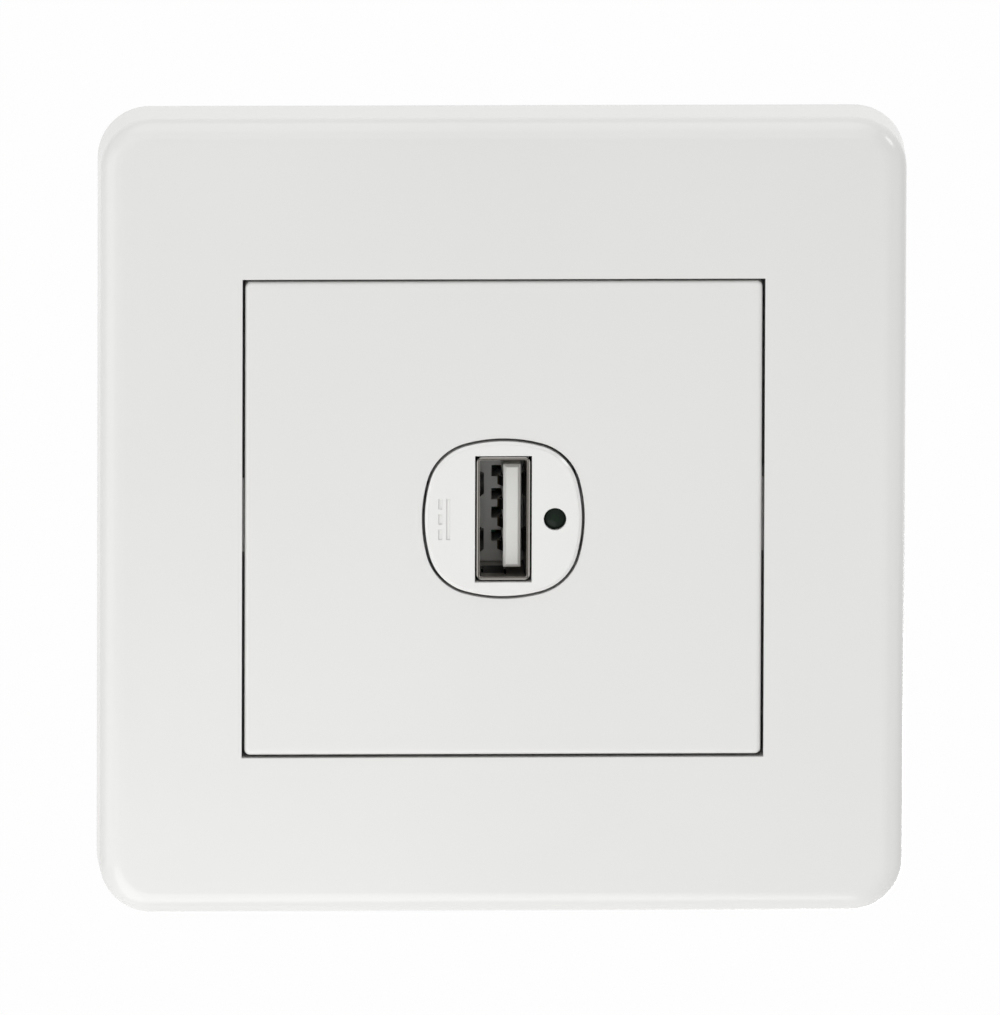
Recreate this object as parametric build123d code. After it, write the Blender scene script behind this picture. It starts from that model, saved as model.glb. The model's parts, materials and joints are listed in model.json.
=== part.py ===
from build123d import *
from math import atan2, degrees, sqrt
import os

# A wall plate with one charging outlet, modelled face up: x runs to the right, y up the wall and
# z out of the wall, with z = 0 on the wall. Sizes are in millimetres. The finished pieces are
# stood upright as they are written, so that the front looks along -Y and the wall lies at Y = 0.

# Surround
PLATE_SIDE = 86.0
PLATE_CORNER = 5.5
PLATE_DEPTH = 9.6  # wall to front face
PLATE_DRAFT = 1.0  # degrees, on the outer sides
EDGE_ROUND = 1.4
FRAME_WALL = 2.0
FRAME_FACE = 2.2
WINDOW_W = 55.6
WINDOW_H = 51.7
WINDOW_LIP = 1.6
WINDOW_LIP_DEPTH = 3.6  # front face to the end of the lip
RIB = 1.2
FRAME_RIB_DEPTH = 2.4
FRAME_RIB_PITCH = 13.0
FRAME_RIB_COUNT = 5  # on the top and the bottom bar
SIDE_RIB_Y = 13.0
FRAME_POST = 3.6
FRAME_POST_INSET = 5.0  # from the edges of the yoke
PRY_NOTCH_W = 8.0
PRY_NOTCH_H = 1.5

# Snap hooks and the slots that they catch in
LEDGE_LEVEL = 1.8
SNAP_PLAY = 0.1
BARB_HEIGHT = 1.2
BARB_FLAT = 0.4
SNAP_FLEX = 0.9  # free room behind a hook
SNAP_SIDE = 0.2  # clearance on a hook's other faces
FRAME_HOOK_X = 18.0
FRAME_HOOK_W = 7.0
FRAME_HOOK_T = 1.4
FRAME_BARB = 0.7
PANEL_HOOK_Y = 14.0
PANEL_HOOK_W = 6.0
PANEL_HOOK_T = 1.2
PANEL_BARB = 0.6
PANEL_HOOK_INSET = 0.4  # from the outer face of the panel's skirt

# Mounting yoke
YOKE_T = 3.0
YOKE_CORNER = 3.5
YOKE_SIDE_GAP = 1.5
YOKE_END_GAP = 3.5
YOKE_RIM = 1.2
YOKE_RIM_H = 1.5
SCREW_PITCH = 60.3
SLOT_W = 4.4
SLOT_L = 6.6
SLOT_PAD = 2.6
SLOT_PAD_H = 0.5
SCREW_ROOM = 11.0  # kept free for a screw head and its driver
COLLAR = 1.4
SIDE_COLLAR_REACH = 18.0
END_COLLAR_REACH = 21.0

# Centre panel
PANEL_GAP = 0.3
PANEL_CORNER = 0.6
PANEL_ROUND = 0.5
PANEL_FACE = 2.0
PANEL_WALL = 1.3
PANEL_SKIRT = 3.4  # front face to the seat on the yoke's collars
PANEL_PAD_L = 8.0  # keeps the gap even beside the wall screws
PANEL_PAD_H = 0.6
PANEL_COLLAR = 1.2
PANEL_COLLAR_DEPTH = 3.2
PANEL_POST = 3.6
PANEL_POST_X = 19.0
PANEL_POST_Y = 18.0
PANEL_RIB = 1.0
PANEL_RIB_DEPTH = 1.2

# Outlet nose: a square with bowed sides and round corners
NOSE_MARGIN = 1.85  # end of the port to the edge of the opening in the panel
NOSE_SIDE_R = 15.5
NOSE_CORNER_R = 5.75
NOSE_GAP = 0.32
NOSE_PROUD = 0.4
NOSE_EDGE = 0.3
NOSE_WALL = 1.2
NOSE_FACE = 1.8

# Charger module
FIT = 0.3
FLANGE_T = 2.0
FLANGE_SIDE = 1.1  # beyond the case, to the left and right
FLANGE_FIT = 0.2
FLANGE_CORNER = 2.0
CASE_W = 44.4
CASE_H = 42.4
CASE_DEPTH = 24.0  # wall to the rear face
CASE_WALL = 1.8
CASE_FLOOR = 2.0
CASE_CORNER = 2.5
CASE_EDGE = 0.8
PARTING = -1.0
LIP = 0.9
LIP_HEIGHT = 1.5
LIP_FIT = 0.1
VENT_W = 1.2
VENT_L = 11.0
VENT_PITCH = 2.8
VENT_COUNT = 5
VENT_X = 8.5
VENT_Y = 10.5

# Screws that hold the module together
BOSS = 5.0  # square
BOSS_DEPTH = 8.0
BOSS_FLOOR = 1.0
POST = 6.6
POST_WEB = 3.0
SCREW_R = 1.0
SCREW_LENGTH = 9.6
SCREW_HEAD_R = 2.2
SCREW_HEAD_H = 1.7
SCREW_CLEAR = 0.3
PILOT_FIT = 0.05
CROSS_W = 0.7
CROSS_L = 2.6
CROSS_DEPTH = 1.0

# Circuit board
BOARD_T = 1.6
BOARD_EDGE = 0.6
LEAD_W = 0.6  # square leads
LEAD_OUT = 1.2  # beyond the board
LEAD_FIT = 0.15

# Outlet receptacle, standing on the board
PORT_W = 6.05
PORT_H = 13.65
SHELL_GAP = 0.2  # round the shell in the nose
SHELL_SHEET = 0.3
SHELL_CORNER = 0.6
SHELL_INSET = 0.5  # behind the nose's face
SHELL_LIFT = 0.6  # above the board
SHELL_LEG_W = 2.0
LEG_FIT = 0.3
SPRING_W = 2.2
SPRING_SLIT = 0.25
SPRING_FRONT = 1.9  # behind the shell's front edge
SPRING_L = 4.6
SPRING_DIP = 0.42
SPRING_BEND = 0.5
SPRING_Y = 3.0
SIDE_SPRING_X = -0.9
TONGUE_T = 1.84
TONGUE_H = 11.1
TONGUE_OFFSET = 0.975
TONGUE_INSET = 1.6  # behind the shell's front edge
TONGUE_CHAMFER = 0.3
PORT_REACH = 9.4  # shell's front edge to the receptacle's back wall
INSULATOR_FIT = 0.05
CONTACT_PLACES = {"ground": 3.5, "data_plus": 1.0, "data_minus": -1.0, "supply": -3.5}
CONTACT_W = 1.0
CONTACT_T = 0.25
CONTACT_BOW = 0.45
CONTACT_BEND = 0.5
CONTACT_FIT = 0.1
CONTACT_SLOT = 1.5
GROOVE_DEPTH = 0.5
GROOVE_END = 0.7  # short of the tongue's tip

# Indicator
LED_OFFSET = 2.47  # side of the port to the lamp's axis
LED_HOLE_R = 1.2
LED_LENS_FIT = 0.1  # round the lens in its hole
LED_INSET = 0.15  # behind the nose's face
LED_CROWN = 0.25
LED_R = 1.45
LED_H = 6.4
LED_FIT = 0.12
LED_TUBE = 0.55
LED_TUBE_L = 3.4
LED_LEAD_PITCH = 2.54

# Wire terminals
POLE_WALL = 2.4  # between the two chambers
BLOCK_SIDE = 1.6
BLOCK_D = 10.0
BLOCK_FIT = 0.2
BLOCK_INSET = 0.4  # behind the rear face of the case
WIRE_WALL = 1.6
CAGE_W = 5.4
CAGE_D = 5.2
CAGE_WALL = 0.9
CAGE_ROUND = 0.6
CAGE_PLATE = 1.4  # tapped end
CAGE_RISE = 3.0
CAGE_FIT = 0.1
WIRE_SPACE = 3.4
CAGE_STANDOFF = 2.2  # board to the end of an open cage
BUSBAR_T = 1.0
BUSBAR_W = 3.0
BUSBAR_SEAT = 0.6
BUSBAR_LEG = 1.0
BUSBAR_FIT = 0.1
PIN_W = 1.0
CLAMP_SCREW_R = 1.45
CLAMP_HEAD_R = 2.5
CLAMP_HEAD_H = 2.0
CLAMP_HEAD_INSET = 0.8
CLAMP_HEAD_FIT = 0.15
CLAMP_THREAD_FIT = 0.05
CLAMP_NECK_FIT = 0.15
CLAMP_END_PLAY = 0.05
DRIVER_SLOT_W = 0.8
DRIVER_SLOT_DEPTH = 1.0
WIRE_FUNNEL = 0.6

# Electronics: places are x, y on the board as seen from the front
TRANSFORMER_AT = (-7.6, 7.0)
CORE_W = 13.0
CORE_H = 12.0
CORE_D = 6.0
CORE_LIFT = 1.5
CORE_LEG = 2.8
CORE_WINDOW_W = 3.6
CORE_WINDOW_H = 7.0
CORE_SPLIT = 0.1
BOBBIN_WALL = 0.6
BOBBIN_FLANGE = 0.8
BOBBIN_D = 13.2
BOBBIN_FIT = 0.1
WINDING_W = 9.2
WINDING_INSET = 0.4
WINDING_CORNER = 1.5
BOBBIN_PIN_PITCH = 4.0
INPUT_CAPACITOR_AT = (12.2, 8.6)
INPUT_CAPACITOR_R = 4.0
INPUT_CAPACITOR_H = 13.0
OUTPUT_CAPACITOR_AT = (15.1, -4.0)
OUTPUT_CAPACITOR_R = 4.0
OUTPUT_CAPACITOR_H = 11.5
CAPACITOR_PITCH = 3.5
CAPACITOR_EDGE = 0.5
SAFETY_CAPACITOR_AT = (4.5, 14.2)
SAFETY_CAPACITOR_R = 4.0
SAFETY_CAPACITOR_T = 3.8
SAFETY_CAPACITOR_LIFT = 1.0
SAFETY_CAPACITOR_PITCH = 5.0
CHOKE_AT = (5.0, 6.6)
CHOKE_R = 2.7
CHOKE_H = 7.5
CHOKE_PITCH = 2.5
FUSE_AT = (-15.6, -5.8)
FUSE_R = 1.6
FUSE_L = 8.5
FUSE_LIFT = 0.2
FUSE_LEAD = 1.6
RECTIFIER_AT = (-9.0, -5.0)
RECTIFIER_SIZE = (4.8, 3.9, 2.4)
CONTROLLER_AT = (-9.0, 7.5)
CONTROLLER_SIZE = (4.9, 3.9, 1.5)
DIODE_AT = (12.0, 3.0)
DIODE_SIZE = (4.4, 3.6, 2.2)
CHIP_LEAD_T = 0.25
CHIP_LEAD_W = 0.45
CHIP_LEAD_OUT = 0.9
CHIP_DRAFT = 7.0
CHIP_LIFT = 0.1
RESISTOR_SIZE = (1.6, 0.8, 0.5)
RESISTOR_PLACES = [(-12.0, -3.0), (-9.0, -3.0), (-12.0, -6.0), (-9.0, -6.0), (9.5, -2.0), (9.5, -5.0)]

# Levels and sizes that follow from the values above
FACE_UNDERSIDE = PLATE_DEPTH - FRAME_FACE
YOKE_W = PLATE_SIDE - 2 * (FRAME_WALL + YOKE_SIDE_GAP)
YOKE_H = PLATE_SIDE - 2 * (FRAME_WALL + YOKE_END_GAP)
PANEL_W = WINDOW_W - 2 * PANEL_GAP
PANEL_H = WINDOW_H - 2 * PANEL_GAP
PANEL_SEAT = PLATE_DEPTH - PANEL_SKIRT
PANEL_UNDERSIDE = PLATE_DEPTH - PANEL_FACE
PANEL_HOOK_FACE = PANEL_W / 2 - PANEL_HOOK_INSET - PANEL_HOOK_T
END_COLLAR_OUT = PANEL_H / 2
FLANGE_W = CASE_W + 2 * FLANGE_SIDE
FLANGE_H = 2 * (END_COLLAR_OUT - COLLAR - FLANGE_FIT)
FLANGE_TOP = YOKE_T + FLANGE_T
SIDE_COLLAR_OUT = FLANGE_W / 2 + FLANGE_FIT + COLLAR
FRAME_HOOK_FACE = (WINDOW_H / 2 + WINDOW_LIP + PLATE_SIDE / 2 - FRAME_WALL - FRAME_HOOK_T) / 2 - SNAP_FLEX
INNER_W = CASE_W - 2 * CASE_WALL
INNER_H = CASE_H - 2 * CASE_WALL
NOSE_HALF = PORT_H / 2 + NOSE_MARGIN
NOSE_FRONT = PLATE_DEPTH + NOSE_PROUD
NOSE_UNDERSIDE = NOSE_FRONT - NOSE_FACE
BOARD_FRONT = YOKE_T - BOSS_DEPTH
BOARD_REAR = BOARD_FRONT - BOARD_T
BOARD_W = INNER_W - 2 * BOARD_EDGE
BOARD_H = INNER_H - 2 * BOARD_EDGE
LEAD_END = BOARD_FRONT + LEAD_OUT
BOSS_X = (INNER_W - BOSS) / 2 - FIT
BOSS_Y = (INNER_H - BOSS) / 2 - FIT
SCREW_SEAT = BOARD_REAR - POST_WEB
SHELL_W = PORT_W - 2 * SHELL_GAP
SHELL_H = PORT_H - 2 * SHELL_GAP
SHELL_FRONT = NOSE_FRONT - SHELL_INSET
SHELL_REAR = BOARD_FRONT + SHELL_LIFT
SHELL_LEG_Y = (SHELL_H - SHELL_SHEET) / 2
TONGUE_FACE = TONGUE_OFFSET - TONGUE_T / 2  # the side that carries the contacts
TONGUE_TIP = SHELL_FRONT - TONGUE_INSET
PORT_BACK = SHELL_FRONT - PORT_REACH
CONTACT_X = TONGUE_FACE + GROOVE_DEPTH - CONTACT_FIT - CONTACT_T / 2
LED_X = PORT_W / 2 + LED_OFFSET
LED_TIP = NOSE_FRONT - LED_INSET
LED_SHOULDER = NOSE_UNDERSIDE - LED_FIT
LED_BASE = LED_TIP - LED_H
WIRE_FACE = -CASE_H / 2
CHAMBER_W = CAGE_W + 2 * CAGE_FIT
POLES = {"live": (CHAMBER_W + POLE_WALL) / 2, "neutral": -(CHAMBER_W + POLE_WALL) / 2}
BLOCK_W = 2 * (CHAMBER_W + BLOCK_SIDE) + POLE_WALL
CLAMP_Y = WIRE_FACE + WIRE_WALL + CAGE_FIT + CAGE_D / 2
CAGE_H = CAGE_PLATE + BUSBAR_FIT + BUSBAR_T + WIRE_SPACE + CAGE_WALL
BUSBAR_FRONT = BOARD_REAR - CAGE_STANDOFF - CAGE_WALL - WIRE_SPACE
BUSBAR_REAR = BUSBAR_FRONT - BUSBAR_T
CAGE_REAR = BUSBAR_REAR - BUSBAR_FIT - CAGE_PLATE
CHAMBER_END = CAGE_REAR - CAGE_RISE - CAGE_FIT
CLAMP_HEAD_SEAT = -CASE_DEPTH + CLAMP_HEAD_INSET + CLAMP_HEAD_H + CLAMP_END_PLAY
BUSBAR_LEG_Y = CLAMP_Y + CAGE_D / 2 + CAGE_FIT + BUSBAR_LEG
BOBBIN_PIN_Y = (CORE_D / 2 + BOBBIN_D / 2) / 2


# Basic shapes

def block(width, height, low, high, corner=0.0):
    """A prism on the plate's own axis between two levels, with rounded upright edges."""
    outline = RectangleRounded(width, height, corner) if corner else Rectangle(width, height)
    return Pos(0, 0, low) * extrude(outline, high - low)


def span(across, along, levels):
    """A box between pairs of limits in x, y and z."""
    limits = (across, along, levels)
    start = [low for low, high in limits]
    size = [high - low for low, high in limits]
    return Pos(*start) * Box(*size, align=Align.MIN)


def rod(radius, low, high, x=0.0, y=0.0):
    """A round bar parallel to z between two levels."""
    upright = (Align.CENTER, Align.CENTER, Align.MIN)
    return Pos(x, y, low) * Cylinder(radius, high - low, align=upright)


def square_bar(width, low, high, x=0.0, y=0.0):
    """A square bar parallel to z between two levels."""
    return Pos(x, y, 0) * block(width, width, low, high)


def four_corners(x, y):
    """The four places that mirror x, y about both centre planes."""
    return [(i * x, j * y) for i in (1, -1) for j in (1, -1)]


def four_ways(piece):
    """A piece with its mirror images about both centre planes."""
    pair = piece + mirror(piece, about=Plane.YZ)
    return pair + mirror(pair, about=Plane.XZ)


def nose_outline(inset):
    """The nose's outline, drawn in by an even margin: four bowed sides with tangent corners."""
    bow = NOSE_SIDE_R - NOSE_HALF
    reach = NOSE_SIDE_R - NOSE_CORNER_R
    corner = (sqrt(2 * reach ** 2 - bow ** 2) - bow) / 2
    swing = degrees(atan2(corner, corner + bow))
    side = CenterArc((0, -bow), NOSE_SIDE_R - inset, 90 - swing, 2 * swing)
    bend = CenterArc((corner, corner), NOSE_CORNER_R - inset, swing, 90 - 2 * swing)
    arcs = [Rot(0, 0, 90 * turn) * arc for turn in range(4) for arc in (side, bend)]
    return make_face(arcs)


def nose_prism(inset, low, high):
    return Pos(0, 0, low) * extrude(nose_outline(inset), high - low)


def snap_hook(thickness, barb, width, root):
    """A springy arm hung from the level root, with its inner face on x = 0 and its barb along +x."""
    shoulder = LEDGE_LEVEL - SNAP_PLAY
    tip = shoulder - BARB_HEIGHT
    outline = Polyline(
        (0, root),
        (0, tip),
        (thickness / 2, tip),
        (thickness + barb, shoulder - BARB_FLAT),
        (thickness + barb, shoulder),
        (thickness, shoulder),
        (thickness, root),
        close=True,
    )
    return extrude(Plane.XZ * make_face(outline), width / 2, both=True)


def hook_slot(thickness, barb, width):
    """The room for a snap hook in the yoke, with the ledge that its barb catches on."""
    half = width / 2 + SNAP_SIDE
    passage = span((-SNAP_FLEX, thickness + SNAP_SIDE), (-half, half), (0, YOKE_T))
    pocket = span((-SNAP_FLEX, thickness + barb + SNAP_SIDE), (-half, half), (0, LEDGE_LEVEL))
    return passage + pocket


def at_frame_hook(piece):
    """A hook or its slot, turned to face up the wall at each of the frame's four places."""
    return four_ways(Pos(FRAME_HOOK_X, FRAME_HOOK_FACE, 0) * Rot(0, 0, 90) * piece)


def at_panel_hook(piece):
    return four_ways(Pos(PANEL_HOOK_FACE, PANEL_HOOK_Y, 0) * piece)


# Plate

def outer_frame():
    """The surround: a thin drafted cover with a window, ribbed inside and snapped on the yoke."""
    body = extrude(RectangleRounded(PLATE_SIDE, PLATE_SIDE, PLATE_CORNER), PLATE_DEPTH, taper=PLATE_DRAFT)
    body = fillet(body.faces().sort_by(Axis.Z)[-1].edges(), EDGE_ROUND)
    inside = PLATE_SIDE - 2 * FRAME_WALL
    body -= block(inside, inside, 0, FACE_UNDERSIDE, PLATE_CORNER - FRAME_WALL)
    lip_end = PLATE_DEPTH - WINDOW_LIP_DEPTH
    body += block(WINDOW_W + 2 * WINDOW_LIP, WINDOW_H + 2 * WINDOW_LIP, lip_end, FACE_UNDERSIDE)
    rib_levels = (FACE_UNDERSIDE - FRAME_RIB_DEPTH, FACE_UNDERSIDE)
    wall_middle = (PLATE_SIDE - FRAME_WALL) / 2
    for place in range(FRAME_RIB_COUNT):
        x = (place - (FRAME_RIB_COUNT - 1) / 2) * FRAME_RIB_PITCH
        body += span((x - RIB / 2, x + RIB / 2), (-wall_middle, wall_middle), rib_levels)
    for y in (-SIDE_RIB_Y, SIDE_RIB_Y):
        body += span((-wall_middle, wall_middle), (y - RIB / 2, y + RIB / 2), rib_levels)
    body -= block(WINDOW_W, WINDOW_H, 0, PLATE_DEPTH)
    for x, y in four_corners(YOKE_W / 2 - FRAME_POST_INSET, YOKE_H / 2 - FRAME_POST_INSET):
        body += square_bar(FRAME_POST, YOKE_T, FACE_UNDERSIDE, x, y)
    body += at_frame_hook(snap_hook(FRAME_HOOK_T, FRAME_BARB, FRAME_HOOK_W, FACE_UNDERSIDE))
    notch = (-PRY_NOTCH_W / 2, PRY_NOTCH_W / 2)
    return body - span(notch, (-PLATE_SIDE / 2, -PLATE_SIDE / 2 + FRAME_WALL), (0, PRY_NOTCH_H))


def centre_panel():
    """The panel in the window: a shallow tray with a bowed opening for the nose."""
    body = block(PANEL_W, PANEL_H, PANEL_SEAT, PLATE_DEPTH, PANEL_CORNER)
    body = fillet(body.faces().sort_by(Axis.Z)[-1].edges(), PANEL_ROUND)
    body += block(WINDOW_W, PANEL_PAD_L, PANEL_SEAT, PANEL_SEAT + PANEL_PAD_H)
    inside_w = PANEL_W - 2 * PANEL_WALL
    inside_h = PANEL_H - 2 * PANEL_WALL
    body -= block(inside_w, inside_h, PANEL_SEAT, PANEL_UNDERSIDE)
    rib_levels = (PANEL_UNDERSIDE - PANEL_RIB_DEPTH, PANEL_UNDERSIDE)
    half_rib = (-PANEL_RIB / 2, PANEL_RIB / 2)
    body += span((-inside_w / 2, inside_w / 2), half_rib, rib_levels)
    body += span(half_rib, (-inside_h / 2, inside_h / 2), rib_levels)
    body += nose_prism(-PANEL_COLLAR, PLATE_DEPTH - PANEL_COLLAR_DEPTH, PANEL_UNDERSIDE)
    body -= nose_prism(0, PANEL_SEAT, PLATE_DEPTH)
    for x, y in four_corners(PANEL_POST_X, PANEL_POST_Y):
        body += square_bar(PANEL_POST, FLANGE_TOP, PANEL_UNDERSIDE, x, y)
    return body + at_panel_hook(snap_hook(PANEL_HOOK_T, PANEL_BARB, PANEL_HOOK_W, PANEL_UNDERSIDE))


def mounting_yoke():
    """The plate behind the cover: it screws to the wall box and carries everything else."""
    body = block(YOKE_W, YOKE_H, 0, YOKE_T, YOKE_CORNER)
    rim = block(YOKE_W, YOKE_H, YOKE_T, YOKE_T + YOKE_RIM_H, YOKE_CORNER)
    rim_inside = YOKE_CORNER - YOKE_RIM
    rim -= block(YOKE_W - 2 * YOKE_RIM, YOKE_H - 2 * YOKE_RIM, YOKE_T, YOKE_T + YOKE_RIM_H, rim_inside)
    body += rim
    body -= block(CASE_W + 2 * FIT, CASE_H + 2 * FIT, 0, YOKE_T, CASE_CORNER + FIT)
    collar_levels = (YOKE_T, PANEL_SEAT)
    side = (SIDE_COLLAR_OUT - COLLAR, SIDE_COLLAR_OUT)
    body += four_ways(span(side, (SCREW_ROOM / 2, SIDE_COLLAR_REACH), collar_levels))
    end = (END_COLLAR_OUT - COLLAR, END_COLLAR_OUT)
    collar = span((-END_COLLAR_REACH, END_COLLAR_REACH), end, collar_levels)
    body += collar + mirror(collar, about=Plane.XZ)
    for x in (-SCREW_PITCH / 2, SCREW_PITCH / 2):
        pad = Rectangle(SLOT_L + 2 * SLOT_PAD, SLOT_W + 2 * SLOT_PAD)
        body += Pos(x, 0, YOKE_T) * extrude(pad, SLOT_PAD_H)
        body -= Pos(x, 0, 0) * extrude(SlotOverall(SLOT_L, SLOT_W), YOKE_T + SLOT_PAD_H)
    body -= at_frame_hook(hook_slot(FRAME_HOOK_T, FRAME_BARB, FRAME_HOOK_W))
    return body - at_panel_hook(hook_slot(PANEL_HOOK_T, PANEL_BARB, PANEL_HOOK_W))


# Module housing

def screw_corners():
    """Two opposite corners of the module, where screws hold it together."""
    return [(side * BOSS_X, side * BOSS_Y) for side in (1, -1)]


def module_front_cover():
    """The front half of the charger's housing, with its flange and the nose that shows."""
    body = block(FLANGE_W, FLANGE_H, YOKE_T, FLANGE_TOP, FLANGE_CORNER)
    nose = nose_prism(NOSE_GAP, FLANGE_TOP, NOSE_FRONT)
    body += chamfer(nose.faces().sort_by(Axis.Z)[-1].edges(), NOSE_EDGE)
    body += block(CASE_W, CASE_H, PARTING, YOKE_T, CASE_CORNER)
    lip_end = PARTING - LIP_HEIGHT
    body += block(INNER_W - 2 * LIP_FIT, INNER_H - 2 * LIP_FIT, lip_end, PARTING)
    inset = 2 * (LIP_FIT + LIP)
    body -= block(INNER_W - inset, INNER_H - inset, lip_end, YOKE_T)
    body -= nose_prism(NOSE_GAP + NOSE_WALL, YOKE_T, NOSE_UNDERSIDE)
    bore = LED_R + LED_FIT
    tube_end = NOSE_UNDERSIDE - LED_TUBE_L
    body += square_bar(2 * (bore + LED_TUBE), tube_end, NOSE_UNDERSIDE, LED_X)
    body -= rod(bore, tube_end, NOSE_UNDERSIDE, LED_X)
    body -= rod(LED_HOLE_R, NOSE_UNDERSIDE, NOSE_FRONT, LED_X)
    body -= block(PORT_W, PORT_H, NOSE_UNDERSIDE, NOSE_FRONT)
    for x, y in four_corners(BOSS_X, BOSS_Y):
        body += square_bar(BOSS, BOARD_FRONT, YOKE_T, x, y)
    for x, y in screw_corners():
        body -= rod(SCREW_R + PILOT_FIT, BOARD_FRONT, YOKE_T - BOSS_FLOOR, x, y)
    return body


def module_rear_case():
    """The rear half of the housing: a deep tray with screw posts, vents and a bay for the terminals."""
    body = block(CASE_W, CASE_H, -CASE_DEPTH, PARTING, CASE_CORNER)
    body = chamfer(body.faces().sort_by(Axis.Z)[0].edges(), CASE_EDGE)
    body -= block(INNER_W, INNER_H, -CASE_DEPTH + CASE_FLOOR, PARTING)
    for x, y in four_corners(BOSS_X, BOSS_Y):
        body += square_bar(POST, -CASE_DEPTH + CASE_FLOOR, BOARD_REAR, x, y)
    for x, y in screw_corners():
        body -= rod(SCREW_HEAD_R + SCREW_CLEAR, -CASE_DEPTH, SCREW_SEAT, x, y)
        body -= rod(SCREW_R + SCREW_CLEAR, SCREW_SEAT, BOARD_REAR, x, y)
    half = BLOCK_W / 2 + BLOCK_FIT
    bay = (WIRE_FACE, WIRE_FACE + BLOCK_D + BLOCK_FIT)
    body -= span((-half, half), bay, (-CASE_DEPTH, BOARD_REAR + BLOCK_FIT))
    vent = extrude(Rectangle(VENT_L, VENT_W), CASE_FLOOR)
    for side in (-VENT_X, VENT_X):
        for place in range(VENT_COUNT):
            y = VENT_Y + (place - (VENT_COUNT - 1) / 2) * VENT_PITCH
            body -= Pos(side, y, -CASE_DEPTH) * vent
    return body


def case_screws():
    """Two cross-head screws, from the rear case through the board into the front cover."""
    head_end = SCREW_SEAT - SCREW_HEAD_H
    screw = rod(SCREW_HEAD_R, head_end, SCREW_SEAT) + rod(SCREW_R, SCREW_SEAT, SCREW_SEAT + SCREW_LENGTH)
    for long, wide in ((CROSS_L, CROSS_W), (CROSS_W, CROSS_L)):
        screw -= span((-long / 2, long / 2), (-wide / 2, wide / 2), (head_end, head_end + CROSS_DEPTH))
    return [Pos(x, y, 0) * screw for x, y in screw_corners()]


# Circuit board

def lead_places():
    """Where the wire leads of the electronics pass through the board."""
    places = [(LED_X, side * LED_LEAD_PITCH / 2) for side in (1, -1)]
    for (x, y), pitch in (
        (INPUT_CAPACITOR_AT, CAPACITOR_PITCH),
        (OUTPUT_CAPACITOR_AT, CAPACITOR_PITCH),
        (SAFETY_CAPACITOR_AT, SAFETY_CAPACITOR_PITCH),
        (CHOKE_AT, CHOKE_PITCH),
    ):
        places += [(x + side * pitch / 2, y) for side in (1, -1)]
    x, y = FUSE_AT
    places += [(x, y + side * (FUSE_L / 2 + FUSE_LEAD)) for side in (1, -1)]
    x, y = TRANSFORMER_AT
    rows = [y + side * BOBBIN_PIN_Y for side in (1, -1)]
    return places + [(x + i * BOBBIN_PIN_PITCH, row) for row in rows for i in (-1, 0, 1)]


def main_board():
    """The circuit board, clamped between the posts and the bosses, with holes for all that it carries."""
    body = block(BOARD_W, BOARD_H, BOARD_REAR, BOARD_FRONT)
    levels = (BOARD_REAR, BOARD_FRONT)
    for x, y in screw_corners():
        body -= rod(SCREW_R + SCREW_CLEAR, *levels, x, y)
    for x, y in lead_places():
        body -= square_bar(LEAD_W + 2 * LEAD_FIT, *levels, x, y)
    for y in CONTACT_PLACES.values():
        body -= square_bar(CONTACT_W + 2 * CONTACT_FIT, *levels, CONTACT_X, y)
    leg = Rectangle(SHELL_LEG_W + 2 * LEG_FIT, SHELL_SHEET + 2 * LEG_FIT)
    for y in (-SHELL_LEG_Y, SHELL_LEG_Y):
        body -= Pos(0, y, BOARD_REAR) * extrude(leg, BOARD_T)
    pin = Rectangle(PIN_W + 2 * LEG_FIT, BUSBAR_LEG + 2 * LEG_FIT)
    for x in POLES.values():
        body -= Pos(x, BUSBAR_LEG_Y, BOARD_REAR) * extrude(pin, BOARD_T)
    return body


# Outlet receptacle and indicator

def shell_spring():
    """A spring tongue of the shell on the plane x = 0, rooted at its front end and dipping along -x."""
    root = SHELL_FRONT - SPRING_FRONT
    middle = root - 0.6 * SPRING_L
    line = FilletPolyline(
        (0, root + SPRING_SLIT),
        (0, root - SPRING_SLIT),
        (-SPRING_DIP, middle),
        (0, root - SPRING_L + SPRING_SLIT),
        radius=SPRING_BEND,
    )
    return extrude(Plane.XZ * trace(line, SHELL_SHEET), SPRING_W / 2, both=True)


def spring_window():
    root = SHELL_FRONT - SPRING_FRONT
    half = SPRING_W / 2 + SPRING_SLIT
    return span((-SHELL_SHEET, SHELL_SHEET), (-half, half), (root - SPRING_L, root))


def spring_places():
    """The frames of the shell's springs: two on each broad side and one on each narrow side."""
    broad = (SHELL_W - SHELL_SHEET) / 2
    places = [Pos(broad, y, 0) for y in (SPRING_Y, -SPRING_Y)]
    places += [Pos(-broad, y, 0) * Rot(0, 0, 180) for y in (SPRING_Y, -SPRING_Y)]
    places += [Pos(SIDE_SPRING_X, SHELL_LEG_Y, 0) * Rot(0, 0, 90)]
    return places + [Pos(SIDE_SPRING_X, -SHELL_LEG_Y, 0) * Rot(0, 0, -90)]


def usb_shell():
    """The folded metal shell of the outlet, with its spring tongues and solder legs."""
    inside = 2 * SHELL_SHEET
    section = RectangleRounded(SHELL_W, SHELL_H, SHELL_CORNER)
    section -= RectangleRounded(SHELL_W - inside, SHELL_H - inside, SHELL_CORNER - SHELL_SHEET)
    body = Pos(0, 0, SHELL_REAR) * extrude(section, SHELL_FRONT - SHELL_REAR)
    for place in spring_places():
        body -= place * spring_window()
        body += place * shell_spring()
    half = SHELL_LEG_W / 2
    for y in (-SHELL_LEG_Y, SHELL_LEG_Y):
        sheet = (y - SHELL_SHEET / 2, y + SHELL_SHEET / 2)
        body += span((-half, half), sheet, (BOARD_REAR - LEAD_OUT, SHELL_REAR))
    return body


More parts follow.
